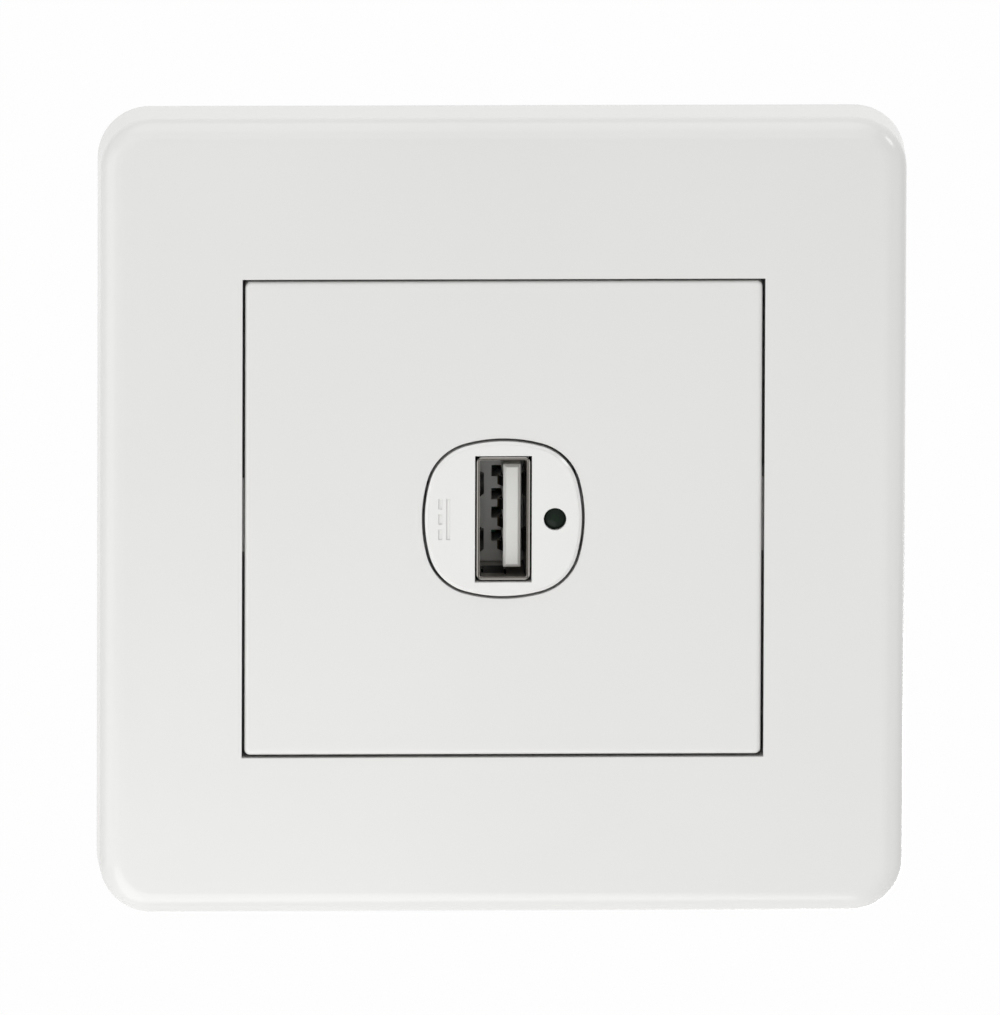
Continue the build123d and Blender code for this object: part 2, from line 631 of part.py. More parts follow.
def usb_insulator():
    """The moulded core of the outlet: a base in the shell and a tongue with four contact grooves."""
    inside = 2 * (SHELL_SHEET + INSULATOR_FIT)
    corner = SHELL_CORNER - SHELL_SHEET
    body = block(SHELL_W - inside, SHELL_H - inside, BOARD_FRONT, PORT_BACK, corner)
    sides = (TONGUE_FACE, TONGUE_FACE + TONGUE_T)
    tongue = span(sides, (-TONGUE_H / 2, TONGUE_H / 2), (PORT_BACK, TONGUE_TIP))
    body += chamfer(tongue.faces().sort_by(Axis.Z)[-1].edges(), TONGUE_CHAMFER)
    half = CONTACT_W / 2 + CONTACT_FIT
    floor = TONGUE_FACE + GROOVE_DEPTH
    for y in CONTACT_PLACES.values():
        body -= span((TONGUE_FACE, floor), (y - half, y + half), (PORT_BACK, TONGUE_TIP - GROOVE_END))
        body -= span((floor - CONTACT_SLOT, floor), (y - half, y + half), (BOARD_FRONT, PORT_BACK))
    return body


def usb_contact(y):
    """One spring contact: a strip from the board that bows out of its groove in the tongue."""
    end = TONGUE_TIP - GROOVE_END - CONTACT_FIT
    crown = end - (end - PORT_BACK) / 4
    line = FilletPolyline(
        (CONTACT_X, BOARD_REAR - LEAD_OUT),
        (CONTACT_X, PORT_BACK + CONTACT_SLOT),
        (TONGUE_FACE - CONTACT_BOW, crown),
        (CONTACT_X, end),
        radius=CONTACT_BEND,
    )
    strip = extrude(Plane.XZ * trace(line, CONTACT_T), CONTACT_W / 2, both=True)
    return Pos(0, y, 0) * strip


def indicator_led():
    """The indicator: a round body with a slimmer, crowned lens that fills its hole in the nose."""
    lens = LED_HOLE_R - LED_LENS_FIT
    side = Polyline(
        (0, LED_TIP),
        (0, LED_BASE),
        (LED_R, LED_BASE),
        (LED_R, LED_SHOULDER),
        (lens, LED_SHOULDER),
        (lens, LED_TIP - LED_CROWN),
    )
    crown_r = (lens ** 2 + LED_CROWN ** 2) / (2 * LED_CROWN)
    swing = degrees(atan2(lens, crown_r - LED_CROWN))
    crown = CenterArc((0, LED_TIP - crown_r), crown_r, 90 - swing, swing)
    return Pos(LED_X, 0, 0) * revolve(Plane.XZ * make_face([side, crown]), Axis.Z)


def led_leads():
    leads = []
    for y in (-LED_LEAD_PITCH / 2, LED_LEAD_PITCH / 2):
        leads.append(square_bar(LEAD_W, BOARD_REAR - LEAD_OUT, LED_BASE, LED_X, y))
    return leads


# Wire terminals, with screws that lift the wire against a bar

def terminal_block():
    """The terminals' insulating body: two chambers open to the board, with wire and driver openings."""
    half = BLOCK_W / 2
    rear = -CASE_DEPTH + BLOCK_INSET
    body = span((-half, half), (WIRE_FACE, WIRE_FACE + BLOCK_D), (rear, BOARD_REAR))
    chamber_d = CAGE_D / 2 + CAGE_FIT
    bar = BUSBAR_W / 2 + BUSBAR_FIT
    bar_start = CLAMP_Y - chamber_d - BUSBAR_SEAT - BUSBAR_FIT
    bar_end = BUSBAR_LEG_Y + BUSBAR_LEG / 2 + BUSBAR_FIT
    window = CAGE_W / 2 - CAGE_WALL
    window_levels = (BUSBAR_FRONT, BUSBAR_FRONT + WIRE_SPACE)
    for x in POLES.values():
        chamber = (x - CHAMBER_W / 2, x + CHAMBER_W / 2)
        body -= span(chamber, (CLAMP_Y - chamber_d, CLAMP_Y + chamber_d), (CHAMBER_END, BOARD_REAR))
        body -= span((x - bar, x + bar), (bar_start, bar_end), (BUSBAR_REAR, BOARD_REAR))
        body -= span((x - window, x + window), (WIRE_FACE, CLAMP_Y), window_levels)
        body -= rod(CLAMP_HEAD_R + CLAMP_HEAD_FIT, rear, CLAMP_HEAD_SEAT, x, CLAMP_Y)
        body -= rod(CLAMP_SCREW_R + CLAMP_NECK_FIT, CLAMP_HEAD_SEAT, CHAMBER_END, x, CLAMP_Y)
    mouths = body.faces().sort_by(Axis.Y)[0].inner_wires()
    return chamfer([edge for mouth in mouths for edge in mouth.edges()], WIRE_FUNNEL)


def clamp_cage(x):
    """A rising clamp: a folded cage round the bar, with a tapped plate at its rear end."""
    body = span((-CAGE_W / 2, CAGE_W / 2), (-CAGE_D / 2, CAGE_D / 2), (CAGE_REAR, CAGE_REAR + CAGE_H))
    body = fillet(body.edges().filter_by(Axis.Y), CAGE_ROUND)
    window = CAGE_W / 2 - CAGE_WALL
    levels = (CAGE_REAR + CAGE_PLATE, CAGE_REAR + CAGE_H - CAGE_WALL)
    body -= span((-window, window), (-CAGE_D / 2, CAGE_D / 2), levels)
    body -= rod(CLAMP_SCREW_R + CLAMP_THREAD_FIT, CAGE_REAR, CAGE_REAR + CAGE_PLATE)
    return Pos(x, CLAMP_Y, 0) * body


def clamp_screw(x):
    """A slotted terminal screw, held at its head, whose tip stays just clear of the bar."""
    seat = CLAMP_HEAD_SEAT - CLAMP_END_PLAY
    top = seat - CLAMP_HEAD_H
    slot = (-DRIVER_SLOT_W / 2, DRIVER_SLOT_W / 2)
    body = rod(CLAMP_HEAD_R, top, seat) + rod(CLAMP_SCREW_R, seat, BUSBAR_REAR - CLAMP_END_PLAY)
    body -= span((-CLAMP_HEAD_R, CLAMP_HEAD_R), slot, (top, top + DRIVER_SLOT_DEPTH))
    return Pos(x, CLAMP_Y, 0) * body


def busbar(x):
    """The bar that a wire is clamped to, with a leg down to its pin in the board."""
    start = CLAMP_Y - CAGE_D / 2 - CAGE_FIT - BUSBAR_SEAT
    leg = (BUSBAR_LEG_Y - BUSBAR_LEG / 2, BUSBAR_LEG_Y + BUSBAR_LEG / 2)
    across = (-BUSBAR_W / 2, BUSBAR_W / 2)
    body = span(across, (start, leg[1]), (BUSBAR_REAR, BUSBAR_FRONT))
    body += span(across, leg, (BUSBAR_REAR, BOARD_REAR))
    body += span((-PIN_W / 2, PIN_W / 2), leg, (BOARD_REAR, LEAD_END))
    return Pos(x, 0, 0) * body


# Electronics, each modelled standing on z = 0 and then set on the board

def on_rear(place, piece):
    return Pos(*place, BOARD_REAR) * Rot(180, 0, 0) * piece


def on_front(place, piece):
    return Pos(*place, BOARD_FRONT) * piece


def lead(x, y, top):
    return square_bar(LEAD_W, -BOARD_T - LEAD_OUT, top, x, y)


def transformer_core():
    """Two ferrite halves, each an E on its side, that meet at a thin spacer."""
    middle = CORE_LIFT + CORE_H / 2
    outline = Rectangle(CORE_W, CORE_H)
    for side in (-1, 1):
        outline -= Pos(side * (CORE_LEG + CORE_WINDOW_W) / 2, 0) * Rectangle(CORE_WINDOW_W, CORE_WINDOW_H)
    outline -= Rectangle(CORE_W, CORE_SPLIT)
    halves = extrude(Plane((0, 0, middle), (1, 0, 0), (0, -1, 0)) * outline, CORE_D / 2, both=True)
    return [on_rear(TRANSFORMER_AT, half) for half in halves.solids()]


def bobbin_levels():
    """The lower and upper ends of the bobbin in the core's window."""
    low = CORE_LIFT + (CORE_H - CORE_WINDOW_H) / 2 + BOBBIN_FIT
    return low, low + CORE_WINDOW_H - 2 * BOBBIN_FIT


def bobbin_tube(margin, low, high):
    """A prism round the core's middle leg, outside it by a margin."""
    return block(CORE_LEG + 2 * margin, CORE_D + 2 * margin, low, high)


def transformer_bobbin():
    """The coil former: a tube between two flanges, with feet on the board."""
    low, high = bobbin_levels()
    flange_w = CORE_LEG + 2 * (CORE_WINDOW_W - BOBBIN_FIT)
    body = bobbin_tube(BOBBIN_FIT + BOBBIN_WALL, low, high)
    body += block(flange_w, BOBBIN_D, low, low + BOBBIN_FLANGE)
    body += block(flange_w, BOBBIN_D, high - BOBBIN_FLANGE, high)
    foot = span((-CORE_W / 2, CORE_W / 2), (CORE_D / 2 + BOBBIN_FIT, BOBBIN_D / 2), (0, low + BOBBIN_FLANGE))
    body += foot + mirror(foot, about=Plane.XZ)
    return on_rear(TRANSFORMER_AT, body - bobbin_tube(BOBBIN_FIT, low, high))


def transformer_winding():
    low, high = bobbin_levels()
    low += BOBBIN_FLANGE + BOBBIN_FIT
    high -= BOBBIN_FLANGE + BOBBIN_FIT
    body = block(WINDING_W, BOBBIN_D - 2 * WINDING_INSET, low, high, WINDING_CORNER)
    return on_rear(TRANSFORMER_AT, body - bobbin_tube(2 * BOBBIN_FIT + BOBBIN_WALL, low, high))


def transformer_pins():
    pins = [(i * BOBBIN_PIN_PITCH, side * BOBBIN_PIN_Y) for side in (1, -1) for i in (-1, 0, 1)]
    return [on_rear(TRANSFORMER_AT, lead(x, y, 0)) for x, y in pins]


def can_capacitor(place, radius, height):
    """A round can standing on two leads."""
    can = rod(radius, 0, height)
    can = chamfer(can.faces().sort_by(Axis.Z)[-1].edges(), CAPACITOR_EDGE)
    for x in (-CAPACITOR_PITCH / 2, CAPACITOR_PITCH / 2):
        can += lead(x, 0, CAPACITOR_EDGE)
    return on_rear(place, can)


def safety_capacitor():
    """A dipped disc on two leads."""
    centre = SAFETY_CAPACITOR_LIFT + SAFETY_CAPACITOR_R
    body = Pos(0, 0, centre) * Rot(90, 0, 0) * Cylinder(SAFETY_CAPACITOR_R, SAFETY_CAPACITOR_T)
    for x in (-SAFETY_CAPACITOR_PITCH / 2, SAFETY_CAPACITOR_PITCH / 2):
        body += lead(x, 0, centre)
    return on_rear(SAFETY_CAPACITOR_AT, body)


def filter_choke():
    """A small sleeved coil on two leads."""
    body = rod(CHOKE_R, 0, CHOKE_H)
    for x in (-CHOKE_PITCH / 2, CHOKE_PITCH / 2):
        body += lead(x, 0, CAPACITOR_EDGE)
    return on_rear(CHOKE_AT, body)


def fuse_resistor():
    """A resistor lying along the board, with leads bent down through it."""
    half = FUSE_L / 2
    axis_level = FUSE_LIFT + FUSE_R
    body = Pos(0, 0, axis_level) * Rot(90, 0, 0) * Cylinder(FUSE_R, FUSE_L)
    line = FilletPolyline(
        (half - LEAD_W, axis_level),
        (half + FUSE_LEAD, axis_level),
        (half + FUSE_LEAD, -BOARD_T - LEAD_OUT),
        radius=LEAD_W,
    )
    wire = extrude(Plane.YZ * trace(line, LEAD_W), LEAD_W / 2, both=True)
    return on_rear(FUSE_AT, body + wire + mirror(wire, about=Plane.XZ))


def chip(size, legs):
    """A moulded package with flat legs on its two long sides."""
    width, depth, height = size
    body = Pos(0, 0, CHIP_LIFT) * extrude(Rectangle(width, depth), height - CHIP_LIFT, taper=CHIP_DRAFT)
    pitch = width / legs
    reach = depth / 2 + CHIP_LEAD_OUT
    for place in range(legs):
        x = (place - (legs - 1) / 2) * pitch
        across = (x - CHIP_LEAD_W / 2, x + CHIP_LEAD_W / 2)
        body += span(across, (-reach, reach), (0, CHIP_LEAD_T))
    return body


def chip_resistors():
    width, depth, height = RESISTOR_SIZE
    body = block(width, depth, 0, height)
    return [on_front(place, body) for place in RESISTOR_PLACES]


# The finished pieces, stood upright and written one file each

def pieces():
    made = {
        "outer_frame": outer_frame(),
        "centre_panel": centre_panel(),
        "mounting_yoke": mounting_yoke(),
        "module_front_cover": module_front_cover(),
        "module_rear_case": module_rear_case(),
        "case_screws": case_screws(),
        "main_board": main_board(),
        "usb_shell": usb_shell(),
        "usb_insulator": usb_insulator(),
        "indicator_led": indicator_led(),
        "led_leads": led_leads(),
        "terminal_block": terminal_block(),
        "transformer_core": transformer_core(),
        "transformer_bobbin": transformer_bobbin(),
        "transformer_winding": transformer_winding(),
        "transformer_pins": transformer_pins(),
        "input_capacitor": can_capacitor(INPUT_CAPACITOR_AT, INPUT_CAPACITOR_R, INPUT_CAPACITOR_H),
        "output_capacitor": can_capacitor(OUTPUT_CAPACITOR_AT, OUTPUT_CAPACITOR_R, OUTPUT_CAPACITOR_H),
        "safety_capacitor": safety_capacitor(),
        "filter_choke": filter_choke(),
        "fuse_resistor": fuse_resistor(),
        "bridge_rectifier": on_rear(RECTIFIER_AT, chip(RECTIFIER_SIZE, 2)),
        "controller_chip": on_front(CONTROLLER_AT, chip(CONTROLLER_SIZE, 4)),
        "output_diode": on_front(DIODE_AT, chip(DIODE_SIZE, 1)),
        "chip_resistors": chip_resistors(),
    }
    for name, y in CONTACT_PLACES.items():
        made["usb_contact_" + name] = usb_contact(y)
    for name, x in POLES.items():
        made[name + "_clamp_cage"] = clamp_cage(x)
        made[name + "_clamp_screw"] = clamp_screw(x)
        made[name + "_busbar"] = busbar(x)
    return made


def main():
    os.makedirs("parts", exist_ok=True)
    upright = Rot(90, 0, 0)
    for name, shape in pieces().items():
        if isinstance(shape, list):
            shape = Compound(children=[solid for part in shape for solid in part.solids()])
        export_step(upright * shape, "parts/" + name + ".step")


if __name__ == "__main__":
    main()
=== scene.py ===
import json
import math

import bpy
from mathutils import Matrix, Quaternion, Vector


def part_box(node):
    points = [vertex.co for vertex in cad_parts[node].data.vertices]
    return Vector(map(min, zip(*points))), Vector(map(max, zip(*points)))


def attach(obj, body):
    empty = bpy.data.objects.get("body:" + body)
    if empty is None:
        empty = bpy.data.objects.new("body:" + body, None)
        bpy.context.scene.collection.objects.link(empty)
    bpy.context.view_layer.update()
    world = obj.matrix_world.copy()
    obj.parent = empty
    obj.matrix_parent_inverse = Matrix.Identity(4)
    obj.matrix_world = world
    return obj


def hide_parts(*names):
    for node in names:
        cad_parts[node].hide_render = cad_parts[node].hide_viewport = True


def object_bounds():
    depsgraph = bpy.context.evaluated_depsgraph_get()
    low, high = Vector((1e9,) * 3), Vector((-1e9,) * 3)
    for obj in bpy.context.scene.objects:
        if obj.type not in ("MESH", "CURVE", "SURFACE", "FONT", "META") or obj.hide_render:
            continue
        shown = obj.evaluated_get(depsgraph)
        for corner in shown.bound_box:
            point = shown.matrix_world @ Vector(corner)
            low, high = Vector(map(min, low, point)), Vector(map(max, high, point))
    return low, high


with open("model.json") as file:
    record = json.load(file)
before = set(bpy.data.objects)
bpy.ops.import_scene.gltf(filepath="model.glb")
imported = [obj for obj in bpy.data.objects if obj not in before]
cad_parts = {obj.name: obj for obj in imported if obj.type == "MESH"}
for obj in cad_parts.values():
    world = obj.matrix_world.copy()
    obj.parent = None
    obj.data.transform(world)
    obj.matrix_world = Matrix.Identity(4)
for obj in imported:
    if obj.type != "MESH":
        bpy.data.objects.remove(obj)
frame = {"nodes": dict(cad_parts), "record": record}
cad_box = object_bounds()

# A white wall plate with one charging outlet, seen from just above and a little to the left.
# The front looks along -Y, the wall lies at Y = 0 and Z runs up it. Lengths are in metres.

MM = 0.001
NODES = frame["nodes"]
NODE_SLOTS = {row["node"]: row["material_slot"] for row in frame["record"]["subparts"]}

# The photograph's frame and view: angles in degrees, a long lens from far away
IMAGE_H = 1015
PLATE_W = 86.0 * MM
PLATE_PIXELS = 807.2
VIEW_AZIMUTH = -2.05
VIEW_ELEVATION = 10.2
VIEW_ROLL = 0.2
VIEW_DISTANCE = 4.0
AIM = Vector((-0.16, -4.0, 0.2)) * MM


# Small tools

def linear(code):
    """An sRGB hex colour as linear red, green, blue and alpha."""
    channels = [int(code[i:i + 2], 16) / 255 for i in (1, 3, 5)]
    return (*[c / 12.92 if c <= 0.04045 else ((c + 0.055) / 1.055) ** 2.4 for c in channels], 1.0)


def add(tree, kind, values=None, **settings):
    """Adds a shader node; values are numbers for its inputs or sockets to link to them."""
    made = tree.nodes.new("ShaderNode" + kind)
    for name, value in settings.items():
        setattr(made, name, value)
    for name, value in (values or {}).items():
        if isinstance(value, bpy.types.NodeSocket):
            tree.links.new(value, made.inputs[name])
        else:
            made.inputs[name].default_value = value
    return made


def per_mm(size):
    """A texture's scale for features of a size in millimetres."""
    return 1 / (size * MM)


# Plastics

def gloss_polycarbonate(tree, low="#E1E1DF", high="#E5E5E3"):
    """Polycarbonate from a polished mould: an even white whose gloss only ripples faintly."""
    place = add(tree, "TexCoord").outputs["Object"]
    flow = add(tree, "TexNoise", {
        "Vector": place,
        "Scale": per_mm(30),
        "Detail": 1.0,
    }).outputs["Fac"]
    tint = add(tree, "Mix", {"Factor": flow, "A": linear(low), "B": linear(high)}, data_type="RGBA")
    haze = add(tree, "TexNoise", {
        "Vector": place,
        "Scale": per_mm(4),
        "Detail": 2.0,
    }).outputs["Fac"]
    gloss = add(tree, "MapRange", {"Value": haze, "To Min": 0.17, "To Max": 0.25})
    edge = add(tree, "Bevel", {"Radius": 0.15 * MM}, samples=4)
    ripple = add(tree, "Bump", {
        "Height": flow,
        "Strength": 0.4,
        "Distance": 0.05 * MM,
        "Normal": edge.outputs["Normal"],
    })
    return add(tree, "BsdfPrincipled", {
        "Base Color": tint.outputs["Result"],
        "Roughness": gloss.outputs["Result"],
        "Normal": ripple.outputs["Normal"],
        "IOR": 1.58,
    })


def nose_polycarbonate(tree):
    """The charger's own front, moulded from a slightly whiter batch."""
    return gloss_polycarbonate(tree, "#E6E6E4", "#EAEAE8")


def eroded_plastic(tree, low, high, grain, depth, roughness):
    """Plastic from a spark-eroded mould: two near tones and a matt grain that softens its shine."""
    place = add(tree, "TexCoord").outputs["Object"]
    flow = add(tree, "TexNoise", {
        "Vector": place,
        "Scale": per_mm(9),
        "Detail": 3.0,
    }).outputs["Fac"]
    tint = add(tree, "Mix", {"Factor": flow, "A": linear(low), "B": linear(high)}, data_type="RGBA")
    pits = add(tree, "TexNoise", {
        "Vector": place,
        "Scale": per_mm(grain),
        "Detail": 2.0,
    }).outputs["Fac"]
    gloss = add(tree, "MapRange", {
        "Value": pits,
        "To Min": roughness - 0.08,
        "To Max": roughness + 0.08,
    })
    edge = add(tree, "Bevel", {"Radius": 0.12 * MM}, samples=4)
    relief = add(tree, "Bump", {
        "Height": pits,
        "Strength": 0.6,
        "Distance": depth * MM,
        "Normal": edge.outputs["Normal"],
    })
    return add(tree, "BsdfPrincipled", {
        "Base Color": tint.outputs["Result"],
        "Roughness": gloss.outputs["Result"],
        "Normal": relief.outputs["Normal"],
        "IOR": 1.55,
    })


def glass_filled_polyamide(tree):
    """Light grey polyamide with glass fibre: matt, with a grain that the eye just finds."""
    return eroded_plastic(tree, "#9EA1A2", "#ABAEAE", grain=0.5, depth=0.03, roughness=0.58)


def case_polycarbonate(tree):
    """Off-white flame-retardant polycarbonate, a little creamier and duller than the front."""
    return eroded_plastic(tree, "#D5D4CE", "#DEDDD8", grain=0.35, depth=0.02, roughness=0.5)


def terminal_polyamide(tree):
    """Charcoal polyamide of the terminal block, matt and finely pitted."""
    return eroded_plastic(tree, "#2B2D30", "#36383B", grain=0.4, depth=0.025, roughness=0.55)


def stamped_foil(tree):
    """Pale foil stamped hot on raised letters: satin, with darker specks where it has not taken."""
    place = add(tree, "TexCoord").outputs["Object"]
    grain = add(tree, "TexNoise", {
        "Vector": place,
        "Scale": per_mm(0.3),
        "Detail": 3.0,
    }).outputs["Fac"]
    taken = add(tree, "MapRange", {
        "Value": grain,
        "From Min": 0.28,
        "From Max": 0.4,
    }).outputs["Result"]
    tint = add(tree, "Mix", {
        "Factor": taken,
        "A": linear("#7C7D7E"),
        "B": linear("#DADAD6"),
    }, data_type="RGBA")
    gloss = add(tree, "MapRange", {"Value": taken, "To Min": 0.6, "To Max": 0.38})
    return add(tree, "BsdfPrincipled", {
        "Base Color": tint.outputs["Result"],
        "Roughness": gloss.outputs["Result"],
    })


def liquid_crystal_polymer(tree):
    """The outlet's core: a chalky white polymer with a low sheen."""
    return eroded_plastic(tree, "#D8D8D5", "#E1E1DE", grain=0.25, depth=0.008, roughness=0.4)


def moulded_phenolic(tree):
    """Black moulded phenolic of the coil former, with a dull shine."""
    return eroded_plastic(tree, "#141312", "#1E1C1B", grain=0.3, depth=0.01, roughness=0.38)


def sintered_ferrite(tree):
    """Ground and sintered ferrite: a granular grey-black with hardly any shine."""
    return eroded_plastic(tree, "#29292B", "#3A393A", grain=0.2, depth=0.03, roughness=0.66)


def shrunk_sleeve(tree):
    """Black heat-shrink sleeve, satin and drawn slightly uneven."""
    return eroded_plastic(tree, "#141517", "#1F2022", grain=1.2, depth=0.06, roughness=0.42)


def dipped_resin(tree):
    """Blue dipped resin: thick, glossy and a little lumpy."""
    return eroded_plastic(tree, "#24549A", "#2F66AE", grain=2.0, depth=0.15, roughness=0.25)


def polyester_tape(tree):
    """Yellow polyester tape: glossy, with the edges of its turns showing as fine darker lines."""
    place = add(tree, "TexCoord").outputs["Object"]
    turns = add(tree, "TexWave", {
        "Vector": place,
        "Scale": per_mm(20),
        "Distortion": 1.5,
        "Detail": 1.0,
    }, bands_direction="Y").outputs["Fac"]
    line = add(tree, "MapRange", {"Value": turns, "From Min": 0.0, "From Max": 0.2})
    tint = add(tree, "Mix", {
        "Factor": line.outputs["Result"],
        "A": linear("#A98512"),
        "B": linear("#DDB222"),
    }, data_type="RGBA")
    gloss = add(tree, "MapRange", {"Value": turns, "To Min": 0.2, "To Max": 0.35})
    relief = add(tree, "Bump", {
        "Height": line.outputs["Result"],
        "Strength": 0.5,
        "Distance": 0.05 * MM,
    })
    return add(tree, "BsdfPrincipled", {
        "Base Color": tint.outputs["Result"],
        "Roughness": gloss.outputs["Result"],
        "Normal": relief.outputs["Normal"],
    })


def green_epoxy(tree):
    """Dark green cast epoxy of an unlit lamp: deep and glossy, with painted shade darkening it
    where it lies deeper in its hole, toward its rim.
    """
    place = add(tree, "TexCoord").outputs["Object"]
    depth = add(tree, "SeparateXYZ", {"Vector": place}).outputs["Y"]
    # Painted shade: the lens darkens from its crown at the front toward its rim, deeper in the
    # hole.
    deeper_in_hole = add(tree, "MapRange", {"Value": depth, "From Min": -9.9 * MM, "From Max": -9.5 * MM})
    tint = add(tree, "Mix", {
        "Factor": deeper_in_hole.outputs["Result"],
        "A": linear("#18231B"),
        "B": linear("#0A110C"),
    }, data_type="RGBA")
    swirl = add(tree, "TexNoise", {"Vector": place, "Scale": per_mm(0.8)}).outputs["Fac"]
    gloss = add(tree, "MapRange", {"Value": swirl, "To Min": 0.2, "To Max": 0.32})
    return add(tree, "BsdfPrincipled", {
        "Base Color": tint.outputs["Result"],
        "Roughness": gloss.outputs["Result"],
        "Specular IOR Level": 0.1,
    })


# Metals

def zinc_plated_steel(tree):
    """Bright zinc on steel: a cool grey mirror, clouded and tumbled, with painted shade in its
    recesses.
    """
    place = add(tree, "TexCoord").outputs["Object"]
    cloud = add(tree, "TexNoise", {
        "Vector": place,
        "Scale": per_mm(1.6),
        "Detail": 3.0,
    }).outputs["Fac"]
    zinc = add(tree, "Mix", {
        "Factor": cloud,
        "A": linear("#B4B9BE"),
        "B": linear("#C9C6B8"),
    }, data_type="RGBA")
    # Painted shade: where the ambient occlusion node finds the surface sheltered, the zinc is mixed
    # toward near black.
    shelter = add(tree, "AmbientOcclusion", {
        "Distance": 1.5 * MM,
    }, samples=8, only_local=True).outputs["AO"]
    unshaded = add(tree, "MapRange", {
        "Value": shelter,
        "From Min": 0.3,
        "From Max": 0.8,
    }).outputs["Result"]
    tint = add(tree, "Mix", {
        "Factor": unshaded,
        "A": linear("#3B3A37"),
        "B": zinc.outputs["Result"],
    }, data_type="RGBA")
    nicks = add(tree, "TexNoise", {
        "Vector": place,
        "Scale": per_mm(0.25),
        "Detail": 2.0,
    }).outputs["Fac"]
    gloss = add(tree, "MapRange", {"Value": nicks, "To Min": 0.24, "To Max": 0.46})
    relief = add(tree, "Bump", {"Height": nicks, "Strength": 0.3, "Distance": 0.01 * MM})
    return add(tree, "BsdfPrincipled", {
        "Base Color": tint.outputs["Result"],
        "Metallic": 1.0,
        "Roughness": gloss.outputs["Result"],
        "Normal": relief.outputs["Normal"],
    })


def nickel_plated_sheet(tree):
    """Nickel on rolled sheet: pale faces and outer edge; the sheared edge is darker, partly its own
    cut steel and partly painted shade, and the springs that bow in are painted near black as shade.
    """
    place = add(tree, "TexCoord").outputs["Object"]
    sides = add(tree, "SeparateXYZ", {"Vector": place}).outputs
    corner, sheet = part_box("usb_shell")[1], 0.3 * MM
    depths = []
    for axis, outside in (("X", corner.x), ("Z", corner.z)):
        away = add(tree, "Math", {0: sides[axis]}, operation="ABSOLUTE").outputs[0]
        depths.append(add(tree, "Math", {
            0: away,
            1: outside - sheet,
        }, operation="SUBTRACT").outputs[0])
    depth = add(tree, "Math", {0: depths[0], 1: depths[1]}, operation="MAXIMUM").outputs[0]
    share = add(tree, "MapRange", {
        "Value": depth,
        "From Min": -sheet,
        "From Max": sheet,
    }).outputs["Result"]
    tint = add(tree, "ValToRGB", {"Fac": share})
    # Painted shade: below 0.46 the springs bowed into the port are near black, and from 0.54 to
    # 0.76 the sheared edge is darkened partly as painted shade.
    ramp = tint.color_ramp
    ramp.interpolation = "CONSTANT"
    ramp.elements[0].color = linear("#2C2A28")
    ramp.elements[1].position = 0.46
    ramp.elements[1].color = linear("#A5A19A")
    for position, code in ((0.54, "#4A4743"), (0.76, "#9C9994")):
        ramp.elements.new(position).color = linear(code)
    along = add(tree, "Mapping", {"Vector": place, "Scale": (1.0, 0.08, 1.0)}).outputs["Vector"]
    lines = add(tree, "TexNoise", {
        "Vector": along,
        "Scale": per_mm(0.15),
        "Detail": 2.0,
    }).outputs["Fac"]
    gloss = add(tree, "MapRange", {"Value": lines, "To Min": 0.22, "To Max": 0.42})
    return add(tree, "BsdfPrincipled", {
        "Base Color": tint.outputs["Color"],
        "Metallic": 1.0,
        "Roughness": gloss.outputs["Result"],
    })


def tinned_brass(tree):
    """Hot-dipped tin on brass: pale, soft and faintly spangled."""
    place = add(tree, "TexCoord").outputs["Object"]
    spangle = add(tree, "TexVoronoi", {"Vector": place, "Scale": per_mm(0.9)})
    shade = add(tree, "SeparateColor", {"Color": spangle.outputs["Color"]}).outputs["Red"]
    tint = add(tree, "Mix", {
        "Factor": shade,
        "A": linear("#BDB8A6"),
        "B": linear("#D3D0C6"),
    }, data_type="RGBA")
    gloss = add(tree, "MapRange", {"Value": shade, "To Min": 0.28, "To Max": 0.48})
    return add(tree, "BsdfPrincipled", {
        "Base Color": tint.outputs["Result"],
        "Metallic": 1.0,
        "Roughness": gloss.outputs["Result"],
    })


def gilt_bronze(tree):
    """Dull spring bronze, darkened further as painted shade of the port's depth, gilded only on the
    crown that a plug rubs, with lines from rolling.
    """
    place = add(tree, "TexCoord").outputs["Object"]
    across = add(tree, "SeparateXYZ", {"Vector": place}).outputs["X"]
    rubbed = add(tree, "MapRange", {"Value": across, "From Min": -0.25 * MM, "From Max": -0.4 * MM})
    # Painted shade: both tones are darker than bronze and gilding are, to stand for the shade deep
    # in the port.
    tint = add(tree, "Mix", {
        "Factor": rubbed.outputs["Result"],
        "A": linear("#4B4844"),
        "B": linear("#8A7A58"),
    }, data_type="RGBA")
    along = add(tree, "Mapping", {"Vector": place, "Scale": (1.0, 0.1, 1.0)}).outputs["Vector"]
    lines = add(tree, "TexNoise", {"Vector": along, "Scale": per_mm(0.12)}).outputs["Fac"]
    gloss = add(tree, "MapRange", {"Value": lines, "To Min": 0.22, "To Max": 0.4})
    return add(tree, "BsdfPrincipled", {
        "Base Color": tint.outputs["Result"],
        "Metallic": 1.0,
        "Roughness": gloss.outputs["Result"],
    })


def tinned_wire(tree):
    """Soldered copper wire: bright tin with a slightly lumpy skin."""
    place = add(tree, "TexCoord").outputs["Object"]
    lumps = add(tree, "TexNoise", {
        "Vector": place,
        "Scale": per_mm(0.5),
        "Detail": 2.0,
    }).outputs["Fac"]
    tint = add(tree, "Mix", {
        "Factor": lumps,
        "A": linear("#B5B6B4"),
        "B": linear("#CFCFCB"),
    }, data_type="RGBA")
    gloss = add(tree, "MapRange", {"Value": lumps, "To Min": 0.2, "To Max": 0.4})
    relief = add(tree, "Bump", {"Height": lumps, "Strength": 0.5, "Distance": 0.03 * MM})
    return add(tree, "BsdfPrincipled", {
        "Base Color": tint.outputs["Result"],
        "Metallic": 1.0,
        "Roughness": gloss.outputs["Result"],
        "Normal": relief.outputs["Normal"],
    })


# Parts of the circuit, each with bare metal where its leads or its can show

